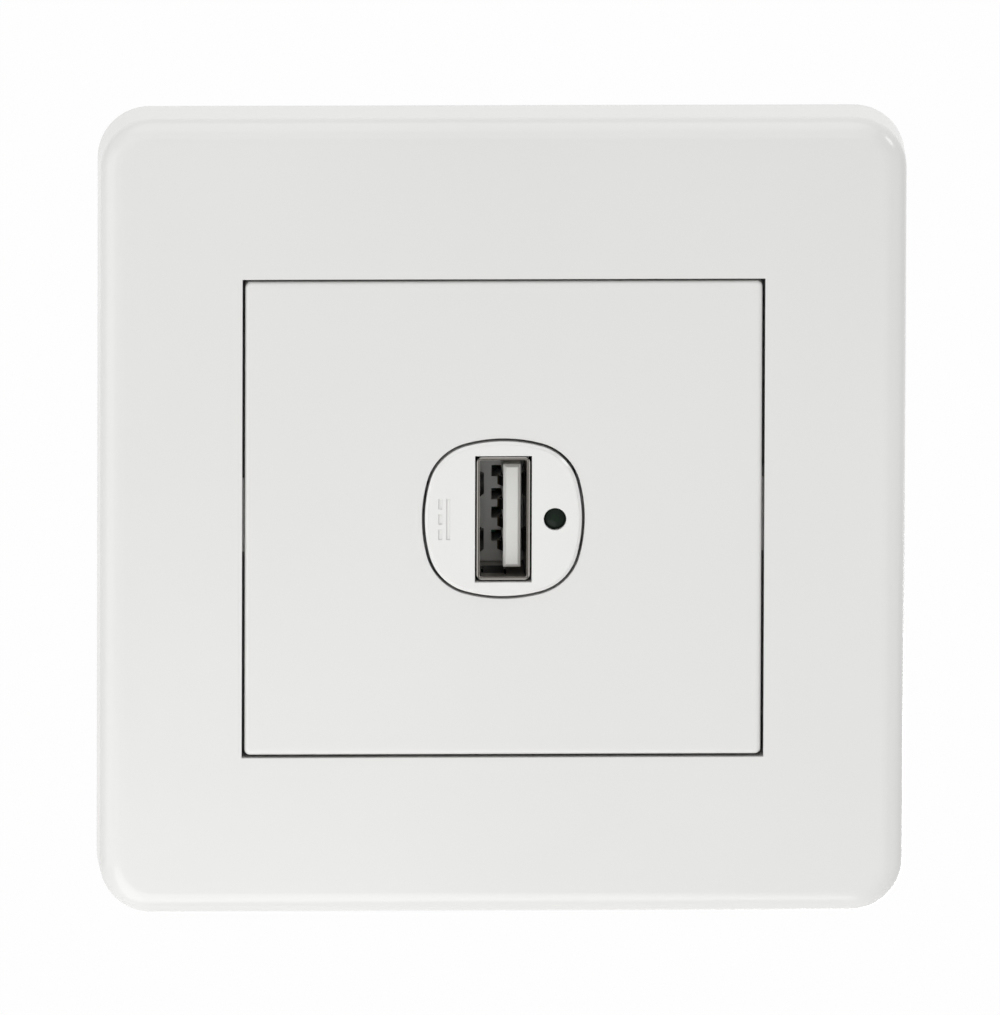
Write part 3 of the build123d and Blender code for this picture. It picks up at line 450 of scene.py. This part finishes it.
def part_metal(tree, metal, tint, dull, shiny):
    """A shader whose metal share takes over from a coloured body, with its own gloss."""
    colour = add(tree, "Mix", {
        "Factor": metal,
        "A": tint,
        "B": linear("#C4C5C3"),
    }, data_type="RGBA")
    gloss = add(tree, "MapRange", {"Value": metal, "To Min": dull, "To Max": shiny})
    return add(tree, "BsdfPrincipled", {
        "Base Color": colour.outputs["Result"],
        "Metallic": metal,
        "Roughness": gloss.outputs["Result"],
    })


def circuit_laminate(tree):
    """Glass-epoxy board: green solder resist over copper tracks, and straw-coloured sawn edges."""
    coords = add(tree, "TexCoord").outputs
    place = add(tree, "SeparateXYZ", {"Vector": coords["Object"]}).outputs
    flat = add(tree, "CombineXYZ", {"X": place["X"], "Y": place["Z"]}).outputs["Vector"]
    tracks = add(tree, "TexBrick", {
        "Vector": flat,
        "Scale": 1.0,
        "Mortar Size": 0.35 * MM,
        "Brick Width": 4.2 * MM,
        "Row Height": 1.9 * MM,
    }).outputs["Fac"]
    resist = add(tree, "Mix", {
        "Factor": tracks,
        "A": linear("#0E4A2A"),
        "B": linear("#2A7A4C"),
    }, data_type="RGBA")
    facing = add(tree, "SeparateXYZ", {"Vector": coords["Normal"]}).outputs["Y"]
    across = add(tree, "Math", {0: facing}, operation="ABSOLUTE").outputs[0]
    edge = add(tree, "Math", {0: across, 1: 0.5}, operation="LESS_THAN").outputs[0]
    tint = add(tree, "Mix", {
        "Factor": edge,
        "A": resist.outputs["Result"],
        "B": linear("#BFB27A"),
    }, data_type="RGBA")
    gloss = add(tree, "MapRange", {"Value": edge, "To Min": 0.3, "To Max": 0.75})
    relief = add(tree, "Bump", {"Height": tracks, "Strength": 0.5, "Distance": 0.035 * MM})
    return add(tree, "BsdfPrincipled", {
        "Base Color": tint.outputs["Result"],
        "Roughness": gloss.outputs["Result"],
        "Normal": relief.outputs["Normal"],
    })


def sleeved_can(tree):
    """An aluminium can in a printed sleeve: blue-black, one pale stripe and a bare metal end."""
    coords = add(tree, "TexCoord").outputs
    facing = add(tree, "SeparateXYZ", {"Vector": coords["Normal"]}).outputs
    stripe = add(tree, "Math", {0: facing["X"], 1: 0.86}, operation="GREATER_THAN").outputs[0]
    sleeve = add(tree, "Mix", {
        "Factor": stripe,
        "A": linear("#1B1E27"),
        "B": linear("#B9BBBE"),
    }, data_type="RGBA")
    end = add(tree, "MapRange", {
        "Value": facing["Y"],
        "From Min": 0.8,
        "From Max": 0.95,
    }).outputs["Result"]
    return part_metal(tree, end, sleeve.outputs["Result"], 0.35, 0.28)


def lacquered_resistor(tree):
    """Pale green lacquer with four painted rings round it, and bare wire beyond its ends."""
    place = add(tree, "TexCoord").outputs["Object"]
    along = add(tree, "SeparateXYZ", {"Vector": place}).outputs["Z"]
    low, high = (corner.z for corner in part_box("fuse_resistor"))
    share = add(tree, "MapRange", {
        "Value": along,
        "From Min": low,
        "From Max": high,
    }).outputs["Result"]
    rings = add(tree, "ValToRGB", {"Fac": share})
    ramp = rings.color_ramp
    ramp.interpolation = "CONSTANT"
    ramp.elements[0].color = linear("#7FA389")
    ramp.elements[1].position = 0.3
    ramp.elements[1].color = linear("#6B3D22")
    for position, code in (
        (0.35, "#7FA389"),
        (0.4, "#1B1B1B"),
        (0.45, "#7FA389"),
        (0.5, "#B5892E"),
        (0.55, "#7FA389"),
        (0.66, "#BFA24A"),
        (0.71, "#7FA389"),
    ):
        ramp.elements.new(position).color = linear(code)
    middle = add(tree, "Math", {0: share, 1: 0.5}, operation="SUBTRACT").outputs[0]
    away = add(tree, "Math", {0: middle}, operation="ABSOLUTE").outputs[0]
    wire = add(tree, "Math", {0: away, 1: 0.35}, operation="GREATER_THAN").outputs[0]
    return part_metal(tree, wire, rings.outputs["Color"], 0.3, 0.3)


def chip_epoxy(tree):
    """Black moulding epoxy, matt and sandy, with tinned legs where a chip meets the board."""
    place = add(tree, "TexCoord").outputs["Object"]
    sand = add(tree, "TexNoise", {
        "Vector": place,
        "Scale": per_mm(0.2),
        "Detail": 2.0,
    }).outputs["Fac"]
    body = add(tree, "Mix", {
        "Factor": sand,
        "A": linear("#161617"),
        "B": linear("#242425"),
    }, data_type="RGBA")
    depth = add(tree, "SeparateXYZ", {"Vector": place}).outputs["Y"]
    low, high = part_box("main_board")
    level = add(tree, "Math", {0: depth, 1: (low.y + high.y) / 2}, operation="SUBTRACT").outputs[0]
    away = add(tree, "Math", {0: level}, operation="ABSOLUTE").outputs[0]
    reach = (high.y - low.y) / 2 + 0.26 * MM
    legs = add(tree, "Math", {0: away, 1: reach}, operation="LESS_THAN").outputs[0]
    return part_metal(tree, legs, body.outputs["Result"], 0.6, 0.3)


FINISHES = {
    "white_polycarbonate": gloss_polycarbonate,
    "grey_polyamide": glass_filled_polyamide,
    "case_polycarbonate": case_polycarbonate,
    "terminal_plastic": terminal_polyamide,
    "zinc_steel": zinc_plated_steel,
    "nickel_steel": nickel_plated_sheet,
    "tinned_brass": tinned_brass,
    "insulator_plastic": liquid_crystal_polymer,
    "gilt_bronze": gilt_bronze,
    "green_epoxy": green_epoxy,
    "tinned_wire": tinned_wire,
    "circuit_laminate": circuit_laminate,
    "ferrite": sintered_ferrite,
    "bobbin_phenolic": moulded_phenolic,
    "winding_tape": polyester_tape,
    "capacitor_can": sleeved_can,
    "capacitor_resin": dipped_resin,
    "shrink_sleeve": shrunk_sleeve,
    "resistor_lacquer": lacquered_resistor,
    "chip_epoxy": chip_epoxy,
}


def finish_material(finish):
    """A material named for its finish, with the nodes that the finish adds."""
    made = bpy.data.materials.new(finish.__name__)
    made.use_nodes = True
    tree = made.node_tree
    tree.nodes.clear()
    add(tree, "OutputMaterial", {"Surface": finish(tree).outputs["BSDF"]})
    return made


finishes = {slot: finish_material(finish) for slot, finish in FINISHES.items()}
nose_finish = finish_material(nose_polycarbonate)
letter_finish = finish_material(stamped_foil)
for node, slot in NODE_SLOTS.items():
    NODES[node].material_slots[0].material = finishes[slot]


# Shaping

SMOOTH_ANGLE = math.radians(32)
MERGE_DISTANCE = 0.001 * MM
THREAD_FILL = 0.94  # share of the pitch that a ridge's foot takes


def turned(name, start, way, rings, sides=40):
    """A turned piece along Y from its start point: rings of radius and distance, in millimetres."""
    bpy.ops.object.select_all(action="DESELECT")
    (radius, far), *others = rings
    bpy.ops.mesh.primitive_circle_add(
        vertices=sides,
        radius=radius * MM,
        fill_type="NGON",
        location=start + Vector((0, way * far * MM, 0)),
        rotation=(math.pi / 2, 0, 0),
    )
    piece = bpy.context.object
    piece.name = name
    bpy.ops.object.transform_apply(location=True, rotation=True, scale=True)
    bpy.ops.object.mode_set(mode="EDIT")
    for next_radius, next_far in others:
        step = (0, way * (next_far - far) * MM, 0)
        bpy.ops.mesh.extrude_region_move(TRANSFORM_OT_translate={"value": step})
        grow = next_radius / radius
        centre = start + Vector((0, way * next_far * MM, 0))
        bpy.ops.transform.resize(value=(grow, 1, grow), center_override=centre)
        radius, far = next_radius, next_far
    bpy.ops.mesh.select_all(action="SELECT")
    bpy.ops.mesh.normals_make_consistent(inside=False)
    bpy.ops.object.mode_set(mode="OBJECT")
    return piece


def wound_thread(name, start, way, first, turns, pitch, radius, depth, steps=20):
    """A thread's ridge, a right-hand helix along Y from its start point, in millimetres."""
    bpy.ops.object.select_all(action="DESELECT")
    section = THREAD_FILL * pitch / math.sqrt(3)
    flatten = depth / (1.5 * section)
    bpy.ops.mesh.primitive_circle_add(
        vertices=3,
        radius=section * MM,
        rotation=(0, 0, -math.pi / 2),
        scale=(1, flatten, 1),
        location=((radius - section * flatten) * MM, 0, 0),
    )
    ridge = bpy.context.object
    ridge.name = name
    bpy.ops.object.transform_apply(location=True, rotation=True, scale=True)
    bpy.ops.object.modifier_add(type="SCREW")
    winding = ridge.modifiers[-1]
    winding.axis = "Y"
    winding.screw_offset = pitch * MM
    winding.iterations = turns
    winding.steps = winding.render_steps = steps
    bpy.ops.object.modifier_apply(modifier=winding.name)
    low = first if way > 0 else -first - turns * pitch
    bpy.ops.object.mode_set(mode="EDIT")
    bpy.ops.mesh.select_all(action="SELECT")
    bpy.ops.mesh.remove_doubles(threshold=MERGE_DISTANCE)
    bpy.ops.mesh.fill_holes(sides=3)
    bpy.ops.mesh.select_all(action="SELECT")
    bpy.ops.mesh.normals_make_consistent(inside=False)
    bpy.ops.transform.translate(value=start + Vector((0, low * MM, 0)))
    bpy.ops.object.mode_set(mode="OBJECT")
    return ridge


def bar(low, high):
    """A plain bar between two corners, as a tool that cuts."""
    bpy.ops.object.select_all(action="DESELECT")
    low, high = Vector(low), Vector(high)
    bpy.ops.mesh.primitive_cube_add(size=1, location=(low + high) / 2, scale=high - low)
    bpy.ops.object.transform_apply(location=True, rotation=True, scale=True)
    return bpy.context.object


def pick_edges(piece, chosen):
    """Enters edit mode with only those edges selected that a test on their two ends chooses."""
    bpy.ops.object.mode_set(mode="EDIT")
    bpy.ops.mesh.select_mode(type="EDGE")
    bpy.ops.mesh.select_all(action="DESELECT")
    bpy.ops.object.mode_set(mode="OBJECT")
    points = piece.data.vertices
    for edge in piece.data.edges:
        edge.select = chosen(*(points[i].co for i in edge.vertices))
    bpy.ops.object.mode_set(mode="EDIT")


def cut(piece, tool, operation="DIFFERENCE"):
    """Cuts a tool's shape out of a piece, or keeps only what they share, and removes the tool."""
    bpy.context.view_layer.objects.active = piece
    bpy.ops.object.modifier_add(type="BOOLEAN")
    modifier = piece.modifiers[-1]
    modifier.object = tool
    modifier.operation = operation
    modifier.solver = "EXACT"
    bpy.ops.object.modifier_apply(modifier=modifier.name)
    bpy.data.objects.remove(tool)


def joined(pieces):
    """Makes the first piece one mesh with the others."""
    bpy.ops.object.select_all(action="DESELECT")
    for piece in pieces:
        piece.select_set(True)
    bpy.context.view_layer.objects.active = pieces[0]
    bpy.ops.object.join()
    return pieces[0]


def fit(piece, finish, slot, body, *nodes):
    """Smooths a piece, gives it its finish and body, and hides the CAD nodes it stands for."""
    bpy.ops.object.select_all(action="DESELECT")
    piece.select_set(True)
    bpy.context.view_layer.objects.active = piece
    bpy.ops.object.shade_smooth_by_angle(angle=SMOOTH_ANGLE)
    piece.data.materials.clear()
    piece.data.materials.append(finish)
    if nodes:
        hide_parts(*nodes)
    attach(piece, body)


# Pieces that take the place of plain ones

MARK_X = -6.3 * MM
MARK_HALF_WIDTH = 0.6 * MM
MARK_LENGTH = 4.4 * MM
MARK_DASH = 1.1 * MM
MARK_STROKE = 0.36 * MM
MARK_DEPTH = 0.12 * MM

FRAME_CORNER = 5.5 * MM
FRAME_EDGE = 2.4 * MM
FRAME_SLOPE = math.tan(math.radians(1.0))
FRAME_SKIN = 0.01 * MM  # taken off all round, so that no faces coincide

SPRING_CROWN = 4.66 * MM  # behind the shell's front edge
SPRING_Z = 3.0 * MM
SPRING_FURTHER = 0.2 * MM

# Turned profiles, as rings of radius and distance from the top of the head, in millimetres
CLAMP_SCREW_RINGS = [
    (2.2, 0.0), (2.42, 0.1), (2.5, 0.3), (2.5, 1.8), (2.35, 2.0),
    (1.15, 2.0), (1.15, 8.6), (0.85, 9.05),
]
CASE_SCREW_HEAD = 2.2
CASE_SCREW_RINGS = [
    (1.5, 0.0), (1.9, 0.12), (2.12, 0.4), (CASE_SCREW_HEAD, 0.8), (CASE_SCREW_HEAD, 1.7),
    (0.72, 1.7), (0.72, 10.3), (0.15, 11.3),
]

# Cuts in their heads and in the cans, as half sizes along X, Y and Z
CLAMP_SLOT = Vector((3.0, 1.0, 0.4)) * MM
CASE_SCREW_CROSS = (Vector((1.3, 1.0, 0.35)) * MM, Vector((0.35, 1.0, 1.3)) * MM)
CAN_SCORE = (Vector((2.2, 0.42, 0.14)) * MM, Vector((0.14, 0.42, 2.2)) * MM)

CLAMP_THREAD = {"first": 2.5, "turns": 12, "pitch": 0.5, "radius": 1.45, "depth": 0.34}
CASE_THREAD = {"first": 2.3, "turns": 8, "pitch": 1.0, "radius": 1.0, "depth": 0.34}

LETTER_SIZE = 2.5 * MM
LETTER_HALF = 0.15 * MM  # half its thickness
LETTER_LIFT = 0.1 * MM  # above the middle between screw and edge

CAN_LEAD_X = 1.75 * MM
CAN_LEAD_SIDES = 12


def cut_front_mark(cover):
    """Sinks a direct-current sign, a bar beside three dashes, in the face left of the port."""
    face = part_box("module_front_cover")[0].y
    gap = (MARK_LENGTH - 3 * MARK_DASH) / 2
    left, right = MARK_X - MARK_HALF_WIDTH, MARK_X + MARK_HALF_WIDTH - MARK_STROKE
    bottom = -MARK_LENGTH / 2
    strokes = [(right, bottom, MARK_LENGTH)]
    strokes += [(left, bottom + i * (MARK_DASH + gap), MARK_DASH) for i in range(3)]
    for x, z, run in strokes:
        low = (x, face - MARK_DEPTH, z)
        high = (x + MARK_STROKE, face + MARK_DEPTH, z + run)
        cut(cover, bar(low, high))


def merged_copy(node, name):
    """A copy of a CAD node with its loose triangles merged, ready to be shaped."""
    bpy.ops.object.select_all(action="DESELECT")
    NODES[node].select_set(True)
    bpy.context.view_layer.objects.active = NODES[node]
    bpy.ops.object.duplicate()
    piece = bpy.context.object
    piece.name = name
    for key in list(piece.keys()):
        del piece[key]
    bpy.ops.mesh.customdata_custom_splitnormals_clear()
    bpy.ops.object.mode_set(mode="EDIT")
    bpy.ops.mesh.select_all(action="SELECT")
    bpy.ops.mesh.remove_doubles(threshold=MERGE_DISTANCE)
    bpy.ops.mesh.select_all(action="DESELECT")
    bpy.ops.object.mode_set(mode="OBJECT")
    return piece


def make_outer_frame():
    """The surround, with the broad soft rounding that its front edge has in the photograph."""
    surround = merged_copy("outer_frame", "rounded_outer_frame")
    low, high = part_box("outer_frame")
    behind, near = 1.0 * MM, 0.1 * MM
    front, back = low.y + FRAME_SKIN, high.y + behind
    half = high.x - FRAME_SKIN + behind * FRAME_SLOPE
    pillow = bar((-half, front, -half), (half, back, half))
    shrink = 1 - (back - front) * FRAME_SLOPE / half

    def in_front(a, b):
        return max(a.y, b.y) < front + near

    def at_corner(a, b):
        return abs(a.y - b.y) > near

    pick_edges(pillow, in_front)
    bpy.ops.transform.resize(value=(shrink, 1, shrink), center_override=(0, front, 0))
    bpy.ops.object.mode_set(mode="OBJECT")
    for chosen, radius in ((at_corner, FRAME_CORNER), (in_front, FRAME_EDGE)):
        pick_edges(pillow, chosen)
        bpy.ops.mesh.bevel(offset=radius, segments=18, affect="EDGES")
        bpy.ops.mesh.select_mode(type="VERT")
        bpy.ops.object.mode_set(mode="OBJECT")
    cut(surround, pillow, "INTERSECT")
    bpy.ops.object.mode_set(mode="EDIT")
    bpy.ops.mesh.select_all(action="SELECT")
    bpy.ops.mesh.remove_doubles(threshold=2 * MERGE_DISTANCE)
    bpy.ops.object.mode_set(mode="OBJECT")
    slot = "white_polycarbonate"
    fit(surround, finishes[slot], slot, "outlet", "outer_frame")
    bpy.ops.object.modifier_add(type="WEIGHTED_NORMAL")
    flat = surround.modifiers[-1]
    flat.keep_sharp = True
    bpy.ops.object.modifier_apply(modifier=flat.name)


def make_port_shell():
    """The port's shell, with its two left springs bowed in as far as the photograph shows."""
    shell = merged_copy("usb_shell", "sprung_port_shell")
    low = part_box("usb_shell")[0]
    left, crown = low.x + 1.2 * MM, low.y + SPRING_CROWN
    half_length, half_width = 0.9 * MM, 1.15 * MM
    for point in shell.data.vertices:
        on_spring = point.co.x < left and abs(abs(point.co.z) - SPRING_Z) < half_width
        point.select = on_spring and abs(point.co.y - crown) < half_length
    bpy.ops.object.mode_set(mode="EDIT")
    bpy.ops.transform.translate(value=(SPRING_FURTHER, 0, 0))
    bpy.ops.object.mode_set(mode="OBJECT")
    fit(shell, finishes["nickel_steel"], "nickel_steel", "outlet", "usb_shell")


def make_front_cover():
    """The charger's front cover, with its mark."""
    cover = merged_copy("module_front_cover", "marked_front_cover")
    cut_front_mark(cover)
    fit(cover, nose_finish, "white_polycarbonate", "outlet", "module_front_cover")


def make_clamp_screw(pole):
    """A slotted terminal screw with a turned head and a fine metric thread."""
    low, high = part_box(pole + "_clamp_screw")
    start = Vector(((low.x + high.x) / 2, high.y, (low.z + high.z) / 2))
    screw = turned(pole + "_slotted_screw", start, -1, CLAMP_SCREW_RINGS)
    cut(screw, bar(start - CLAMP_SLOT, start + CLAMP_SLOT))
    thread = wound_thread(pole + "_thread", start, -1, **CLAMP_THREAD)
    piece, slot = joined([screw, thread]), "zinc_steel"
    fit(piece, finishes[slot], slot, pole + "_screw", pole + "_clamp_screw")


def make_case_screws():
    """The two cross-head screws that hold the charger together, with a coarse thread."""
    low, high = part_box("case_screws")
    head = CASE_SCREW_HEAD * MM
    places = {"upper": (high.x - head, high.z - head), "lower": (low.x + head, low.z + head)}
    made = []
    for name, (x, z) in places.items():
        start = Vector((x, high.y, z))
        screw = turned(name + "_case_screw", start, -1, CASE_SCREW_RINGS)
        for reach in CASE_SCREW_CROSS:
            cut(screw, bar(start - reach, start + reach))
        made += [screw, wound_thread(name + "_case_thread", start, -1, **CASE_THREAD)]
    fit(joined(made), finishes["zinc_steel"], "zinc_steel", "outlet", "case_screws")


def make_pole_letter(pole, letter):
    """A raised letter on the terminal block above its screw, read from behind."""
    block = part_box("terminal_block")[1]
    low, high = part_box(pole + "_clamp_screw")
    bpy.ops.object.select_all(action="DESELECT")
    bpy.ops.object.text_add()
    text = bpy.context.object
    text.name = pole + "_letter"
    text.data.body = letter
    text.data.size = LETTER_SIZE
    text.data.align_x = text.data.align_y = "CENTER"
    text.data.extrude = LETTER_HALF
    bpy.ops.object.convert(target="MESH")
    text = bpy.context.object
    text.rotation_euler = (math.pi / 2, 0, math.pi)
    middle = (high.z + block.z) / 2
    text.location = ((low.x + high.x) / 2, block.y + LETTER_HALF, middle + LETTER_LIFT)
    bpy.ops.object.transform_apply(location=True, rotation=True, scale=True)
    fit(text, letter_finish, "terminal_plastic", "outlet")


def make_capacitor(name, node):
    """An electrolytic capacitor: a grooved can, a scored end, a turned-in sleeve and two leads."""
    low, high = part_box(node)
    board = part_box("main_board")[1].y
    length = (high.y - board) / MM
    start = Vector(((low.x + high.x) / 2, high.y, (low.z + high.z) / 2))
    end = [(3.0, 0.3), (3.2, 0.3), (3.3, 0.05), (3.45, 0.0), (3.75, 0.0), (3.93, 0.1), (4.0, 0.35)]
    groove = [(4.0, 2.6), (3.75, 2.3), (3.75, 1.8), (4.0, 1.5)]
    foot = [(4.0, 0.4), (3.8, 0.15), (3.4, 0.0)]
    lower = [(radius, length - above) for radius, above in groove + foot]
    can = turned(name, start, -1, end + lower)
    for reach in CAN_SCORE:
        cut(can, bar(start - reach, start + reach))
    lead_rings = [(0.2, 0.0), (0.3, 0.1), (0.3, (board - low.y) / MM + 0.5)]
    pieces = [can]
    for side in (-1, 1):
        tip = Vector((start.x + side * CAN_LEAD_X, low.y, start.z))
        pieces.append(turned(name + "_lead", tip, 1, lead_rings, CAN_LEAD_SIDES))
    fit(joined(pieces), finishes["capacitor_can"], "capacitor_can", "outlet", node)


make_outer_frame()
make_front_cover()
make_port_shell()
for pole, letter in (("live", "L"), ("neutral", "N")):
    make_clamp_screw(pole)
    make_pole_letter(pole, letter)
make_case_screws()
make_capacitor("input_can", "input_capacitor")
make_capacitor("output_can", "output_capacitor")


# Stage

WORLD_LEVEL = 0.51
FLOOR_SIZE = 12.0
FLOOR_WHITE = 0.98  # the rest shows the shadow
FLOOR_DROP = 0.4  # below the plate


def white_to_the_eye(tree):
    """1 for rays that show the background or its mirror image, and 0 for those that light."""
    path = add(tree, "LightPath").outputs
    seen = add(tree, "Math", {
        0: path["Is Camera Ray"],
        1: path["Is Glossy Ray"],
    }, operation="MAXIMUM")
    return add(tree, "Math", {
        0: seen.outputs[0],
        1: path["Is Transmission Ray"],
    }, operation="MAXIMUM").outputs[0]


def light_world():
    """A plain even light that looks white itself."""
    world = bpy.data.worlds.new("studio")
    bpy.context.scene.world = world
    world.use_nodes = True
    tree = world.node_tree
    tree.nodes.clear()
    level = add(tree, "MapRange", {
        "Value": white_to_the_eye(tree),
        "To Min": WORLD_LEVEL,
        "To Max": 1.0,
    })
    sky = add(tree, "Background", {"Color": linear("#FFFFFF"), "Strength": level.outputs["Result"]})
    add(tree, "OutputWorld", {"Surface": sky.outputs["Background"]})


def lay_floor():
    """Pale paper far below the plate, clear when it is seen from below."""
    bpy.ops.object.select_all(action="DESELECT")
    bpy.ops.mesh.primitive_plane_add(size=FLOOR_SIZE, location=(0, 0, cad_box[0].z - FLOOR_DROP))
    floor = bpy.context.object
    floor.name = "floor"
    paint = bpy.data.materials.new("floor_paper")
    paint.use_nodes = True
    tree = paint.node_tree
    tree.nodes.clear()
    paper = add(tree, "BsdfDiffuse", {"Color": linear("#F4F4F4")})
    white = add(tree, "Emission", {"Color": linear("#FFFFFF"), "Strength": 1.0})
    share = add(tree, "Math", {0: white_to_the_eye(tree), 1: FLOOR_WHITE}, operation="MULTIPLY")
    both = add(tree, "MixShader", {0: share.outputs[0], 1: paper.outputs[0], 2: white.outputs[0]})
    below = add(tree, "NewGeometry").outputs["Backfacing"]
    clear = add(tree, "BsdfTransparent")
    sheet = add(tree, "MixShader", {0: below, 1: both.outputs[0], 2: clear.outputs[0]})
    add(tree, "OutputMaterial", {"Surface": sheet.outputs[0]})
    floor.data.materials.append(paint)


def add_lamp(name, place, size, level):
    """A square soft lamp that faces the plate; level is the share of full light it gives there."""
    bpy.ops.object.light_add(type="AREA", location=place)
    lamp = bpy.context.object
    lamp.name = name
    lamp.data.size = size
    lamp.data.energy = level * (math.pi * Vector(place).length) ** 2
    lamp.rotation_mode = "QUATERNION"
    lamp.rotation_quaternion = (-Vector(place)).to_track_quat("-Z", "Y")


def add_camera():
    """The photograph's view, with a lens that makes the plate as wide as it is there."""
    azimuth, elevation = math.radians(VIEW_AZIMUTH), math.radians(VIEW_ELEVATION)
    back = Vector((
        math.sin(azimuth) * math.cos(elevation),
        -math.cos(azimuth) * math.cos(elevation),
        math.sin(elevation),
    ))
    bpy.ops.object.camera_add(location=AIM + back * VIEW_DISTANCE)
    camera = bpy.context.object
    roll = Quaternion((0, 0, 1), math.radians(VIEW_ROLL))
    camera.rotation_mode = "QUATERNION"
    camera.rotation_quaternion = (-back).to_track_quat("-Z", "Y") @ roll
    seen_height = PLATE_W * IMAGE_H / PLATE_PIXELS
    camera.data.lens = camera.data.sensor_width * VIEW_DISTANCE / seen_height
    camera.data.clip_start = 0.01
    camera.data.clip_end = 50.0
    bpy.context.scene.camera = camera


light_world()
lay_floor()
add_lamp("key_lamp", (-0.12, -0.28, -0.26), 0.36, 0.48)
add_lamp("top_lamp", (-0.08, -0.26, 0.52), 1.0, 0.48)
add_lamp("sky_lamp", (-0.05, -0.06, 0.6), 0.5, 0.12)
add_lamp("left_lamp", (-0.6, -0.2, 0.05), 0.5, 0.13)
add_lamp("right_lamp", (0.6, -0.16, -0.05), 0.5, 0.08)
add_lamp("corner_lamp", (0.45, -0.04, 0.3), 0.12, 0.08)
add_lamp("back_lamp", (0.25, 0.55, -0.3), 0.35, 0.45)
add_camera()
bpy.context.scene.view_settings.view_transform = "Standard"
